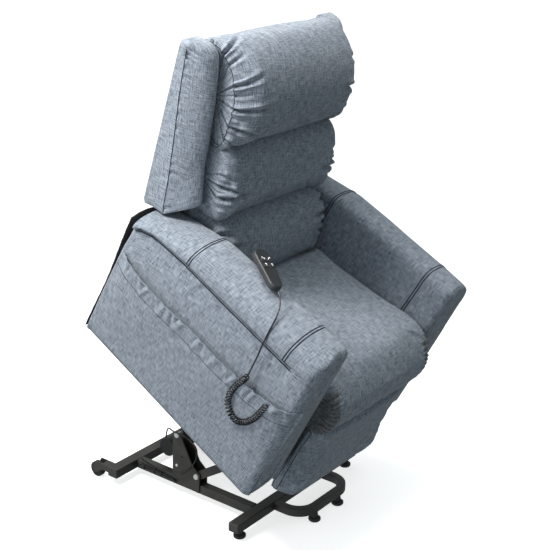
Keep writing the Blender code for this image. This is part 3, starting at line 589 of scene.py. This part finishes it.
def gather(rings, seam, side, pleats, depth, reach, width):
    """Sharp pleats that start at an end seam and run inwards.

    pleats hold the (y, z) on the seam, the strength, the share of reach, and the slant off straight inwards.
    """
    normal = ring_normals(rings)
    ring = rings[seam]
    step = np.linalg.norm(np.roll(ring, -1, 0) - ring, axis=1)
    along = np.concatenate([[0], np.cumsum(step)[:-1]])
    around = step.sum()
    distance = side * (ring[:, 0].mean() - rings[:, :, 0])
    change = np.zeros(distance.shape)
    for y, z, strength, share, slant in pleats:
        place = along[np.argmin(np.hypot(ring[:, 1] - y, ring[:, 2] - z))]
        off = along[None] - place - slant * np.maximum(distance, 0)
        off = (off + around / 2) % around - around / 2
        spread = width * (0.8 + 0.7 * np.clip(distance / reach, 0, 1))
        ridges = np.exp(-((np.abs(off) - 3.0 * spread) / (1.5 * spread)) ** 2)
        valley = np.exp(-np.abs(off) / spread) - 0.42 * ridges
        inside = np.clip(1 - distance / (reach * share), 0, 1) ** 0.9 * (distance >= -1e-6)
        cap = np.clip(1 + distance / 0.012, 0, 1) * (distance < -1e-6)
        change -= depth * strength * valley * (inside + 0.5 * cap)
    return rings + normal * change[:, :, None]


def cushion(name, outline, half, body, node, pleats=(), depth=0.0, reach=0.0, width=0.0, pressure=4.0,
            grow=0.04, cap=0.016, seams_shown=True, shape_ends=None, **shape):
    """A padded piece: cloth swollen by at most cap, then the pleats, with piping along its end seams."""
    rings, seams = cushion_rings(outline, half, **shape)
    pinned = [*range(seams[0] + 1), *range(seams[1], len(rings))]
    rings = simulate(rings, pinned, pressure, grow, cap)
    rings = finer(rings)
    seams = (seams[0] * 2, seams[1] * 2)
    if shape_ends:
        rings = shape_ends(rings, seams)
    if pleats:
        rings = gather(rings, seams[0], -1, pleats, depth, reach, width)
        rings = gather(rings, seams[1], 1, pleats, depth, reach, width)
    made = ring_object(name, rings, (seams[0], len(rings) - 1 - seams[1]))
    dress(made, body, FABRIC, [node])
    if seams_shown:
        for side, seam in (("right", seams[0]), ("left", seams[1])):
            line_tube(f"{name}_seam_{side}", rings[seam], 0.0011, body, closed=True)
    return made


def make_back_cushions():
    head = [(0.738, 0.806), (0.660, 0.783), (0.605, 0.780), (0.576, 0.808), (0.570, 0.860), (0.576, 0.915),
            (0.598, 0.968), (0.640, 1.013), (0.700, 1.040), (0.757, 1.036), (0.795, 1.012), (0.797, 0.985),
            (0.780, 0.930), (0.755, 0.850)]
    end = [(0.735, 0.800), (0.665, 0.776), (0.614, 0.766), (0.598, 0.792), (0.603, 0.850), (0.616, 0.910),
           (0.640, 0.955), (0.674, 0.992), (0.718, 1.016), (0.760, 1.022), (0.792, 1.006), (0.794, 0.985),
           (0.778, 0.930), (0.753, 0.850)]
    pleats = [(0.775, 1.016, 0.8, 0.45, 0.50), (0.728, 0.995, 1.1, 0.75, 0.60),
              (0.700, 0.985, 0.5, 0.40, 0.50), (0.652, 0.955, 1.1, 0.70, 0.28),
              (0.636, 0.932, 0.45, 0.40, 0.10), (0.624, 0.898, 1.3, 1.30, 0.02),
              (0.619, 0.874, 0.4, 0.45, -0.10), (0.616, 0.846, 1.2, 1.10, -0.30),
              (0.612, 0.805, 0.8, 0.50, -0.55), (0.618, 0.772, 0.5, 0.40, -0.60)]
    cushion("head_pillow", head, 0.262, "back", "head_cushion", pleats, 0.015, 0.085, 0.0034, end=end,
            cap=0.010, end_round=0.016, blend=0.06, cap_bulge=0.004, around=0.0045)
    middle = [(0.735, 0.778), (0.650, 0.776), (0.590, 0.768), (0.556, 0.742), (0.535, 0.690), (0.512, 0.630),
              (0.508, 0.592), (0.530, 0.568), (0.590, 0.562), (0.690, 0.570), (0.715, 0.670)]
    pleats = [(0.545, 0.715, 0.5, 0.6, 0.30), (0.533, 0.685, 1.1, 0.9, 0.38), (0.522, 0.652, 1.4, 1.1, -0.08),
              (0.512, 0.625, 0.5, 0.5, -0.3)]
    cushion("middle_pillow", middle, 0.260, "back", "middle_cushion", pleats, 0.017, 0.095, 0.0038,
            end_round=0.040, seams_shown=False, cap_bulge=0.006, around=0.0045)
    lumbar = [(0.684, 0.566), (0.590, 0.566), (0.520, 0.560), (0.474, 0.535), (0.444, 0.485), (0.428, 0.430),
              (0.420, 0.390), (0.442, 0.368), (0.540, 0.376), (0.600, 0.392), (0.642, 0.480)]
    pleats = [(0.490, 0.545, 0.9, 0.8, 0.25), (0.458, 0.512, 1.4, 1.1, 0.08), (0.446, 0.485, 0.5, 0.5, -0.1),
              (0.436, 0.455, 0.8, 0.7, -0.25)]
    cushion("lumbar_pillow", lumbar, 0.248, "back", "lumbar_cushion", pleats, 0.015, 0.08, 0.0036,
            cap=0.009, end_round=0.04, seams_shown=False, cap_bulge=0.006, around=0.0045)


FAN_CENTRE = (-0.020, 0.335)
FAN_PLEATS = 33
FAN_DEPTH = 0.0085
# Faces in this span get the dark cloth: thin lining, darkened further as painted shade in the gathers.
FAN_SHADED_LINING = (0.2270, 104, 274)  # |x| and the angles between which the lining shows


def fan(rings, seams):
    """Shirred corners: short pleats that fan out over the seat's two front corners."""
    normal = ring_normals(rings)
    y, z = rings[:, :, 1] - FAN_CENTRE[0], rings[:, :, 2] - FAN_CENTRE[1]
    angle = np.degrees(np.arctan2(z, y)) % 360
    window = smoothstep(angle, 92, 118) * (1 - smoothstep(angle, 262, 285))
    half = abs(rings[seams[0], :, 0].mean())
    near = smoothstep(np.abs(rings[:, :, 0]), half - 0.046, half - 0.012)
    radius = np.hypot(y, z)
    near *= smoothstep(radius, 0.020, 0.045)
    turn = np.radians(angle) * FAN_PLEATS + 1.3 * np.sin(np.radians(angle) * 5)
    change = -FAN_DEPTH * (0.5 - 0.5 * np.cos(turn)) ** 2.2 * window * near
    return rings + normal * change[:, :, None]


def make_seat():
    outline = [(0.412, 0.286), (0.422, 0.335), (0.417, 0.388), (0.300, 0.406), (0.200, 0.421), (0.120, 0.434),
               (0.040, 0.444), (-0.012, 0.442), (-0.054, 0.424), (-0.083, 0.391), (-0.097, 0.348),
               (-0.094, 0.308), (-0.084, 0.280), (-0.050, 0.268), (0.060, 0.281), (0.250, 0.284)]
    made = cushion("seat_pad", outline, 0.255, "chair", "seat_cushion", pressure=3.0, grow=0.02, cap=0.004,
                   crown=0.006, end_round=0.024, seams_shown=False, cap_bulge=0.006, cap_steps=8,
                   around=0.0042, shape_ends=fan)
    shade_fan(made.data)


def shade_fan(mesh):
    """The gathered corners are of thin dark lining, darkened further as painted shade in the gathers."""
    mesh.materials.append(MATERIALS["gathered"])
    inside, low, high = FAN_SHADED_LINING
    for face in mesh.polygons:
        x, y, z = face.center
        angle = math.degrees(math.atan2(z - FAN_CENTRE[1], y - FAN_CENTRE[0])) % 360
        if abs(x) > inside and low < angle < high:
            face.material_index = 1


def make_legrest():
    outline = [(-0.0428, 0.258), (-0.068, 0.271), (-0.086, 0.260), (-0.091, 0.200), (-0.100, 0.110),
               (-0.109, 0.040), (-0.108, 0.002), (-0.090, -0.009), (-0.055, -0.008), (-0.043, 0.010),
               (-0.043, 0.130)]
    end = [(-0.0428, 0.262), (-0.058, 0.270), (-0.068, 0.260), (-0.067, 0.196), (-0.070, 0.110),
           (-0.074, 0.040), (-0.074, 0.008), (-0.066, -0.001), (-0.052, -0.002), (-0.043, 0.010),
           (-0.043, 0.130)]
    cushion("legrest_pillow", outline, 0.247, "legrest", "legrest_pad", pressure=2.0, grow=0.02, cap=0.008,
            crown=0.003, end_round=0.010, cap_bulge=0.002, end=end, blend=0.045)
    # The legrest board shows only through the gaps; its dark cloth is painted shade in them.
    frame["nodes"]["legrest_board"].data.materials[0] = MATERIALS["gathered"]


# Arms -----------------------------------------------------

ARM_IN = 0.262
ARM_OUT = 0.400
ARM_REAR = 0.667
ARM_LOW = 0.052
ARM_CORNER = 0.026
FRONT_LOW = -0.058
SEAM_LINE = [(-0.036, 0.512), (0.068, 0.509), (0.300, 0.508), (0.470, 0.509), (0.560, 0.503), (0.600, 0.498),
             (0.640, 0.482), (0.667, 0.462)]
PAD_LINE = [(-0.036, 0.598), (0.068, 0.598), (0.200, 0.592), (0.300, 0.589), (0.430, 0.580), (0.500, 0.562),
            (0.560, 0.545), (0.600, 0.532), (0.640, 0.519), (0.667, 0.510)]


# (x, share of the rise from seam to top) over the pad.
ARM_CROWN = [(0.402, 0.06), (0.404, 0.20), (0.400, 0.44), (0.386, 0.68), (0.362, 0.88), (0.332, 0.985),
             (0.303, 1.0), (0.281, 0.97), (0.267, 0.84), (0.2615, 0.60), (0.2615, 0.2)]


def line_at(line, y):
    """Height of a line of (y, z) points at y."""
    return np.interp(y, *zip(*line))


def front_y(z):
    """Front face of the arm: it leans a little."""
    return FRONT_LOW + (z - 0.05) * 0.024 / 0.54


def arm_outer(y, z):
    """|x| of the arm's outer face below the pad, which rounds into the front."""
    bow = 0.004 * math.sin(math.pi * min(1, (z - ARM_LOW) / 0.452))
    short = max(0.0, 1 - max(y - front_y(z), 0.0) / ARM_CORNER)
    return ARM_OUT + bow - ARM_CORNER * (1 - math.sqrt(1 - short ** 2))


def arm_section(y):
    """(x, z) round the arm at y, from its outer foot over the top and back below it."""
    seam, top = line_at(SEAM_LINE, y), line_at(PAD_LINE, y)
    rise = top - seam
    tuck = smoothstep(y, 0.005, 0.045)
    panel = []
    for z in np.linspace(ARM_LOW, seam - 0.004, 36):
        share = (z - ARM_LOW) / (seam - 0.056)
        bow = 0.004 * math.sin(math.pi * share) - 0.007 * tuck * smoothstep(share, 0.80, 0.99)
        panel.append((ARM_OUT + bow, z))
    crown = [(x, seam + share * rise) for x, share in ARM_CROWN]
    crown = spline([(ARM_OUT - 0.007 * tuck, seam + 0.001)] + crown, 40)
    inner = [(ARM_IN, z) for z in np.linspace(seam - 0.005, 0.102, 28)]
    floor = [(ARM_IN + 0.01, 0.098), (0.30, 0.080), (0.34, 0.066), (0.375, 0.054), (0.395, 0.050)]
    return np.array(panel + [tuple(p) for p in crown] + inner + floor)


def arm_rings(side):
    """Rings from the rear of the arm to its front face, which closes on the arm's upright middle line."""
    middle = (ARM_IN + ARM_OUT) / 2
    half = (ARM_OUT - ARM_IN) / 2
    rings = []
    for t in (0.25, 0.6, 1.0):
        section = arm_section(ARM_REAR)
        squeezed = np.clip(section[:, 1], 0.05 + half * (1 - t), 0.51 - 0.5 * half * (1 - t))
        rings.append(np.column_stack([middle + (section[:, 0] - middle) * t, np.full(len(section), ARM_REAR),
                                      squeezed]))
    radius = ARM_CORNER
    for y in np.linspace(ARM_REAR - 0.012, radius + FRONT_LOW + 0.010, 88):
        section = arm_section(y)
        toward = smoothstep(y, 0.10, -0.04 + radius)
        rings.append(np.column_stack([section[:, 0], y + (front_y(section[:, 1]) - FRONT_LOW) * toward,
                                      section[:, 1]]))
    section = arm_section(radius - 0.048)
    low, high = section[:, 1].min(), section[:, 1].max()
    front = [(radius * (1 - math.cos(a)) / half, radius * math.sin(a))
             for a in np.radians([15, 32, 50, 68, 90])]
    front += [(t, radius) for t in (0.50, 0.65, 0.80, 0.95)]
    for t, forward in front:
        bulge = 0.004 * smoothstep(t, 0.3, 0.9)
        height = np.clip(section[:, 1], low + half * t, high - half * t)
        y = front_y(section[:, 1]) + 0.010 + radius - forward - bulge
        rings.append(np.column_stack([middle + (section[:, 0] - middle) * (1 - t), y - 0.010, height]))
    rings = np.array(rings)
    rings[:, :, 0] *= side
    return rings


# y, strength, length and slant of each crease.
PANEL_FOLDS = [(0.600, 0.5, 0.05, 0.4), (0.520, 0.8, 0.07, -0.3), (0.440, 0.5, 0.05, 0.2),
               (0.372, 1.0, 0.09, 0.5), (0.318, 0.7, 0.08, -0.35), (0.215, 0.5, 0.06, 0.3),
               (0.130, 0.9, 0.08, 0.45), (0.060, 0.8, 0.06, -0.2)]
FOLD_DEPTH = 0.0048
FOLD_WIDTH = 0.0075


def panel_folds(rings, side):
    """Soft creases that hang from the seam under the pad."""
    x, y, z = side * rings[:, :, 0], rings[:, :, 1], rings[:, :, 2]
    below = line_at(SEAM_LINE, y) - z
    change = np.zeros(x.shape)
    for place, strength, length, slant in PANEL_FOLDS:
        off = (y - place - slant * below) / FOLD_WIDTH
        fade = np.clip(1 - below / length, 0, 1) * smoothstep(below, 0.0, 0.008)
        crease = np.exp(-np.abs(off)) - 0.5 * np.exp(-((off - 2.6) / 1.5) ** 2)
        change -= FOLD_DEPTH * strength * fade * crease
    change *= smoothstep(x, 0.388, 0.396) * (below > 0)
    moved = rings.copy()
    moved[:, :, 0] += side * change
    return moved


def make_arms():
    for name, side in SIDES:
        rings = panel_folds(finer(arm_rings(side)), side)
        made = ring_object(f"arm_upholstery_{name}", rings, (4, 16), (0, 2))
        dress(made, "chair", FABRIC, [f"arm_frame_{name}", f"arm_pad_{name}"])
        arm_seams(name, side)


SEAM_RADIUS = 0.0016
RING_SEAM_RADIUS = 0.0017


def arm_seams(name, side):
    """The double line under the pad, double seams round the pad, and one up the edge of the front face."""
    for number, (drop, out) in enumerate(((0.001, 0.3945), (0.009, 0.3955))):
        spots = [(out, y) for y in np.linspace(0.655, 0.040, 70)]
        spots += [(0.3985 + 0.001 * number, y) for y in (0.022, 0.008)]
        under = [(side * x, y, line_at(SEAM_LINE, y) - drop) for x, y in spots]
        line_tube(f"arm_side_seam_{number + 1}_{name}", under, SEAM_RADIUS, "chair")
    for number, y in enumerate((0.459, 0.451, 0.0735, 0.0655)):
        ring = [(side * x, y, z) for x, z in arm_section(y)[36:88]]
        line_tube(f"arm_ring_seam_{number + 1}_{name}", ring, RING_SEAM_RADIUS, "chair")
    edge = [(side * (arm_outer(front_y(z) + 0.0045, z) + 0.0012), front_y(z) + 0.0045, z)
            for z in np.linspace(0.058, 0.402, 60)]
    line_tube(f"arm_front_seam_{name}", edge, SEAM_RADIUS, "chair")


REAR_CLOTH_Y = 0.6735


def make_rear_cloth():
    """Black cloth over the chair's rear: low in the middle, and standing off higher behind the arms."""
    columns = [-0.400, -0.392, -0.375, -0.345, -0.315, -0.285, -0.266, -0.2615, -0.257, -0.20, -0.13, -0.065]
    columns += [0.0] + [-x for x in columns[::-1]]
    rows = []
    for share in np.linspace(0, 1, 60):
        row = []
        for x in columns:
            tall = abs(x) > 0.259
            top = 0.506 - 0.018 * smoothstep(abs(x), 0.360, 0.400) if tall else 0.285
            z = ARM_LOW + (top - ARM_LOW) * share
            puff = 0.011 * smoothstep(share, 0.35, 1.0) * smoothstep(abs(x), 0.25, 0.33)
            sag = 0.003 * math.sin(31 * x + 1) * math.sin(17 * z) + 0.0012 * math.sin(140 * z + 9 * x)
            row.append((x, REAR_CLOTH_Y + puff + 0.3 * sag, z))
        rows.append(row)
    made = grid_object("rear_dust_cloth", rows, 0.0025)
    dress(made, "chair", "black_cover_cloth", ["rear_cover"])


# Pocket ---------------------------------------------------

POCKET_TOP = [(-0.054, 0.411), (0.026, 0.387), (0.080, 0.376), (0.196, 0.366), (0.322, 0.365), (0.450, 0.363),
              (0.538, 0.364), (0.633, 0.376), (0.662, 0.381)]
POCKET_LOW = 0.056
POCKET_FRONT = -0.0535
POCKET_REAR = 0.664
POCKET_GATHERS = 24
POCKET_HEM = 0.044


def pocket_wave(y, down):
    """How far the pocket's band stands off in its small gathers; down is the distance below its edge."""
    wave = 0.0
    for k in range(POCKET_GATHERS):
        place = -0.045 + 0.0295 * k + 0.010 * math.sin(5.1 * k)
        width = 0.0070 + 0.0045 * math.sin(2.3 * k) ** 2
        off = (y - place - 0.45 * math.sin(3.7 * k + 0.5) * down) / width
        tall = 0.0016 + 0.0028 * abs(math.sin(1.9 * k + 0.4))
        wave += tall * (math.exp(-off ** 2) - 0.8 * math.exp(-abs(off - 1.7) * 1.4))
    return wave * math.exp(-((down - 0.010) / 0.034) ** 2)


def make_pocket():
    """The pocket's sheet: flat below, standing off at its gathered edge, and sewn round the arm's front."""
    rows = []
    for share in np.concatenate([np.linspace(0, 0.82, 28), np.linspace(0.835, 1, 24)]):
        row = []
        for part in np.linspace(0, 1, 320):
            y = POCKET_FRONT + (POCKET_REAR - POCKET_FRONT) * part
            top = line_at(POCKET_TOP, y)
            z = POCKET_LOW + (top - POCKET_LOW) * share
            down = top - z
            away = 0.015 * smoothstep(share, 0.15, 0.97) * smoothstep(y, -0.045, 0.015)
            away *= 1 - smoothstep(y, 0.61, POCKET_REAR)
            away += pocket_wave(y, down) * smoothstep(y, -0.050, -0.02)
            away += 0.0016 * math.sin(23 * y + 9 * z) * smoothstep(share, 0.1, 0.5)
            row.append((-arm_outer(y, z) - 0.0022 - max(away, 0), y, z))
        rows.append(row)
    made = grid_object("side_pocket_sheet", rows, 0.0016)
    dress(made, "chair", "side_fabric", ["side_pocket"])
    hem = min(range(len(rows)), key=lambda i: abs(rows[i][160][2] - line_at(POCKET_TOP, 0.3) + POCKET_HEM))
    stitch = [(p[0] - 0.0012, p[1], p[2]) for p in rows[hem]]
    line_tube("pocket_hem_stitch", stitch[::2], 0.0006, "chair")
    rim = [(p[0] - 0.0004, p[1], p[2]) for p in rows[-1]]
    line_tube("pocket_rim", rim[::2], 0.0016, "chair", FABRIC)


def make_gap_flaps():
    """Gathered strips that close the gaps between the seat's front corners, the arms and the legrest; their dark
    cloth is painted shade in these gaps.
    """
    for name, side in SIDES:
        rows = []
        for z in np.linspace(0.150, 0.300, 40):
            wave = 0.0012 * math.sin(260 * z + side)
            rows.append([(side * x, -0.0355 + wave * (1 + math.sin(300 * x)), z)
                         for x in np.linspace(0.2368, 0.2600, 14)])
        made = grid_object(f"gap_flap_{name}", rows, 0.0010)
        dress(made, "chair", "gathered")


# Back: wings and outer cover ------------------------------

WING_IN = 0.270
WING_OUT = 0.340
WING_ARC = 0.166
WING_ROUND = 0.482  # the rise from which the top rounds over
# Depth of the seam and of the stuffing before it, at these rises.
WING_RISES = [0, 0.12, 0.24, 0.36, 0.44, 0.485, 0.512]
WING_DEEP = [0.082, 0.074, 0.060, 0.044, 0.036, 0.031, 0.027]
WING_PUFF = [0.074, 0.074, 0.082, 0.084, 0.078, 0.070, 0.060]


def back_point(x, rise, depth):
    """A point of the leaning back: rise along it, and depth forward of its rear face."""
    y = BACK_FOOT[0] + rise * math.sin(BACK_LEAN) - depth * math.cos(BACK_LEAN)
    z = BACK_FOOT[1] + rise * math.cos(BACK_LEAN) + depth * math.sin(BACK_LEAN)
    return (x, y, z)


def wing_foot(point):
    """The wing's foot follows an arc about the recline axis, then rises to the front."""
    seam = BACK_FOOT[0] - WING_DEEP[0] * math.cos(BACK_LEAN)
    behind = max(point[1], seam) - RECLINE_AXIS[0]
    arc = RECLINE_AXIS[1] + math.sqrt(max(WING_ARC ** 2 - behind ** 2, 0))
    return arc + 1.1 * max(0, seam - point[1])


def wing_section(rise):
    """(x, depth) round the wing at this rise, from its outer rear corner forwards."""
    deep = float(np.interp(rise, WING_RISES, WING_DEEP))
    puff = float(np.interp(rise, WING_RISES, WING_PUFF))
    side = [(WING_OUT, d) for d in np.linspace(0.0065, deep, 14)]
    front = spline([(WING_OUT, deep + 0.002), (WING_OUT - 0.007, deep + 0.35 * puff),
                    (WING_OUT - 0.022, deep + 0.74 * puff), (WING_OUT - 0.040, deep + 0.97 * puff),
                    (WING_OUT - 0.054, deep + 1.0 * puff), (WING_IN + 0.001, deep + 0.82 * puff),
                    (WING_IN - 0.002, deep + 0.45 * puff), (WING_IN, deep)], 34)
    inner = [(WING_IN, d) for d in np.linspace(deep - 0.005, 0.0065, 10)]
    rear = [(x, 0.0055) for x in np.linspace(WING_IN + 0.006, WING_OUT - 0.006, 8)]
    return np.array(side + [tuple(p) for p in front] + inner + rear)


def make_wings():
    for name, side in SIDES:
        rings = []
        tops = [0.490, 0.497, 0.503, 0.508, 0.5115, 0.513]
        for rise in np.concatenate([[0, 0.003, 0.008, 0.015], np.linspace(0.022, WING_ROUND, 58), tops]):
            section = wing_section(rise)
            middle = section.mean(0)
            over = max(rise - WING_ROUND, 0) / 0.032
            shrink = max(1 - over ** 3, 0) ** (1 / 3)
            shrink *= 1 - 0.16 * (1 - smoothstep(rise, -0.012, 0.022))
            section = middle + (section - middle) * (0.45 + 0.55 * shrink)
            ring = np.array([back_point(side * x, rise, depth) for x, depth in section])
            foot = np.array([wing_foot(point) for point in ring])
            ring[:, 2] = np.maximum(ring[:, 2], foot + 0.9 * rise) if rise > 0.022 else foot + 0.9 * rise
            rings.append(ring)
        base = rings[0]
        middle = base.mean(0)
        under = [middle + (base - middle) * t for t in (0.3, 0.7)]
        rings = finer(np.array(under + rings))
        rings = wing_puckers(rings)
        made = ring_object(f"wing_upholstery_{name}", rings, (4, 8), (0, 1))
        dress(made, "back", FABRIC, [f"wing_{name}"])
        seam = rings[6:-10:2, 27]
        line_tube(f"wing_seam_{name}", seam + np.array([side * 0.0004, 0, 0]), 0.0012, "back")


def wing_puckers(rings):
    """Small gathers on the front face beside the outer edge's seam, and three deep ones at the top."""
    normal = ring_normals(rings)
    along = running(steps(rings[:, 30]))
    wave = np.sin(along * 210 + 2.2 * np.sin(along * 31)) * (0.5 + 0.5 * np.sin(along * 43 + 1))
    place = np.arange(rings.shape[1])
    near = np.exp(-np.abs(place - 30) / 7.0) * (place > 28)
    change = 0.0028 * wave[:, None] * near[None]
    change[:6] = 0
    top = along[-1] - along
    for number in range(3):
        slope = place * 0.0016
        off = top[:, None] - 0.006 - 0.013 * number - slope[None] * 0.4
        change -= 0.010 * np.exp(-np.abs(off) / 0.0030) * np.exp(-((place - 33) / 8.0) ** 2)[None]
    return rings + normal * change[:, :, None]


def make_outer_cover():
    rows = []
    for rise in np.linspace(-0.125, 0.490, 80):
        half = 0.252 + 0.082 * smoothstep(rise, -0.005, 0.040) - 0.022 * smoothstep(rise, 0.465, 0.495)
        row = []
        for x in np.linspace(-half, half, 60):
            edge = (1 - abs(x / half) ** 6) * (1 - abs((rise - 0.18) / 0.33) ** 8)
            row.append(back_point(x, rise, 0.0035 - 0.009 * max(edge, 0)))
        rows.append(row)
    made = grid_object("back_cover_panel", rows, 0.004)
    dress(made, "back", FABRIC, ["back_outer_cover"])
    top_cloth()


def top_cloth():
    """Closes the back's top, from the outer cover's edge to the head pillow."""
    rows = []
    for share in np.linspace(0, 1, 12):
        rise = 0.4885 + 0.004 * math.sin(math.pi * share) - 0.004 * share
        rows.append([back_point(x, rise + 0.0008 * math.sin(170 * x), 0.002 + 0.024 * share)
                     for x in np.linspace(-0.266, 0.266, 60)])
    made = grid_object("back_top_cloth", rows, 0.0016)
    dress(made, "back", FABRIC)


# Handset and cord -----------------------------------------

CORD_DIAMETER = 0.0046
COIL_WIDTH = 0.0205
COIL_PITCH = 0.0098
# Middle line of the cord's straight run, and (y, z) of its coil, which hangs at COIL_X.
ROUTE = [(-0.331, 0.212, 0.6115), (-0.337, 0.200, 0.611), (-0.350, 0.184, 0.6075), (-0.368, 0.168, 0.596),
         (-0.386, 0.156, 0.577), (-0.401, 0.148, 0.550), (-0.409, 0.142, 0.515), (-0.411, 0.136, 0.470),
         (-0.416, 0.131, 0.435), (-0.420, 0.128, 0.408)]
COIL_X = -0.4215
COIL_TOP = (-0.421, 0.1275, 0.404)
COIL_LINE = [(0.130, 0.385), (0.140, 0.350), (0.144, 0.315), (0.137, 0.283), (0.116, 0.260), (0.088, 0.256),
             (0.064, 0.274), (0.048, 0.305), (0.040, 0.340), (0.036, 0.378)]


def curl(centre, width, pitch, per_turn=12):
    """The helix of a curly cord about a centreline."""
    along = running(steps(centre))
    count = int(along[-1] / pitch * per_turn)
    place = np.linspace(0, along[-1], count)
    middle = np.column_stack([np.interp(place, along, centre[:, k]) for k in range(3)])
    tangent = np.gradient(middle, axis=0)
    tangent /= np.linalg.norm(tangent, axis=1)[:, None]
    side = np.cross(tangent, (1.0, 0, 0))
    side /= np.linalg.norm(side, axis=1)[:, None]
    other = np.cross(tangent, side)
    turn = 2 * math.pi * np.arange(count) / per_turn
    radius = width / 2 * np.minimum(1, np.minimum(place, along[-1] - place) / 0.006)
    return middle + side * (radius * np.cos(turn))[:, None] + other * (radius * np.sin(turn))[:, None]


def make_cord():
    straight = spline(ROUTE, 60)
    loop = [COIL_TOP] + [(COIL_X, y, z) for y, z in COIL_LINE]
    coil = curl(spline(loop, 200), COIL_WIDTH - CORD_DIAMETER, COIL_PITCH)
    points = np.vstack([straight, coil[3:]])
    made = line_tube("handset_cord_curly", points, CORD_DIAMETER / 2, "chair", "cord_sheath")
    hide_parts("handset_cord", "handset_coil")


# Handset print, bolts and the cable bundle ----------------

def plate_object(name, corners, thickness):
    """A thin flat plate with these corners, in the handset's own plan."""
    count = len(corners)
    points = [(a, b, height) for height in (0.0, thickness) for a, b in corners]
    faces = [tuple(range(count))[::-1], tuple(range(count, 2 * count))]
    faces += [(i, (i + 1) % count, (i + 1) % count + count, i + count) for i in range(count)]
    coords = [points[p][:2] for face in faces for p in face]
    return closed_object(name, points, faces, coords)


HANDSET_TURN = math.radians(-25.0)
# (x, y) outlines of the pictures.
PRINTS = [[(-0.0048, -0.0036), (-0.0012, -0.0036), (-0.0012, -0.0005), (0.0012, 0.0010), (0.0030, -0.0006),
           (0.0050, 0.0044), (-0.0004, 0.0048), (0.0006, 0.0030), (-0.0030, 0.0008), (-0.0048, 0.0008)],
          [(-0.0050, 0.0016), (0.0, 0.0052), (0.0050, 0.0016), (0.0018, 0.0016), (0.0018, -0.0046),
           (-0.0018, -0.0046), (-0.0018, 0.0016)]]


def make_prints():
    """White pictures that ride the buttons: a bent arrow above, and a straight one below."""
    for number in range(1, 5):
        node = frame["nodes"][f"handset_button_{number}"]
        corners = [CHAIR.inverted() @ node.matrix_world @ Vector(corner) for corner in node.bound_box]
        middle = sum(corners, Vector()) / 8
        top = max(corner.z for corner in corners)
        shape = PRINTS[0 if number < 3 else 1]
        mirror = -1 if number % 2 else 1
        made = plate_object(f"button_print_{number}", [(mirror * a, b) for a, b in shape], 0.0003)
        spot = Matrix.Translation((middle.x, middle.y, top - 0.00005))
        turn = Matrix.Rotation(HANDSET_TURN, 4, "Z")
        dress(made, f"button_{number}", "symbol", place=CHAIR @ spot @ turn)


def shade_handset_face():
    """The handset's upper face is a darker plastic than its sides."""
    body = frame["nodes"]["handset_body"]
    body.data.materials.append(MATERIALS["handset_face"])
    up = (CHAIR.inverted() @ body.matrix_world).to_3x3()
    for face in body.data.polygons:
        if (up @ face.normal).z > 0.93:
            face.material_index = 1


# y, z and radius of each bolt, on the outer face of its upright.
BOLTS = [(0.1998, 0.1040, 0.0052), (0.1787, 0.1424, 0.0034)]
UPRIGHT_X = 0.2100
BOLT_DOME = ((0.0, 0.5), (0.0, 1.0), (0.0016, 1.0), (0.0026, 0.82), (0.0031, 0.45))
BASE = Matrix.Identity(4)


def make_bolts():
    """Dome-headed bolts in both outer uprights."""
    for name, side in SIDES[::-1]:
        for number, (y, z, radius) in enumerate(BOLTS):
            rings = []
            for out, share in BOLT_DOME:
                around = np.linspace(0, 2 * math.pi, 18, endpoint=False)
                rings.append([(side * (UPRIGHT_X + out), y + radius * share * math.cos(a),
                               z + radius * share * math.sin(a)) for a in around])
            made = ring_object(f"upright_bolt_{number + 1}_{name}", rings)
            dress(made, "base", "black_plastic" if number else "zinc_steel", place=BASE)


def make_cable_bundle():
    """Cables tied along the outside of the rail on the person's right."""
    lines = [[(-0.2075, 0.378, 0.062), (-0.2090, 0.366, 0.054), (-0.2085, 0.340, 0.050),
              (-0.2090, 0.300, 0.049), (-0.2085, 0.262, 0.050), (-0.2120, 0.236, 0.049),
              (-0.2150, 0.205, 0.047)],
             [(-0.2080, 0.376, 0.056), (-0.2085, 0.360, 0.047), (-0.2090, 0.330, 0.044),
              (-0.2085, 0.290, 0.0445), (-0.2090, 0.262, 0.044), (-0.2125, 0.232, 0.043),
              (-0.2150, 0.200, 0.045)]]
    for number, line in enumerate(lines):
        line_tube(f"rail_cable_{number + 1}", spline(line, 60), 0.0026, "base", "cord_sheath", BASE)
    for number, y in enumerate((0.345, 0.300, 0.270)):
        loop = [(-0.2087 + 0.0040 * math.cos(a), y, 0.0472 + 0.0078 * math.sin(a))
                for a in np.linspace(0, 2 * math.pi, 24, endpoint=False)]
        line_tube(f"cable_tie_{number + 1}", loop, 0.0012, "base", "black_plastic", BASE, closed=True)


# Everything -----------------------------------------------

make_camera()
make_studio()
make_cord()
dress_cad_nodes()
soften_edges()
make_back_cushions()
make_seat()
make_legrest()
make_arms()
make_pocket()
make_gap_flaps()
make_rear_cloth()
make_wings()
make_outer_cover()
make_prints()
shade_handset_face()
make_bolts()
make_cable_bundle()
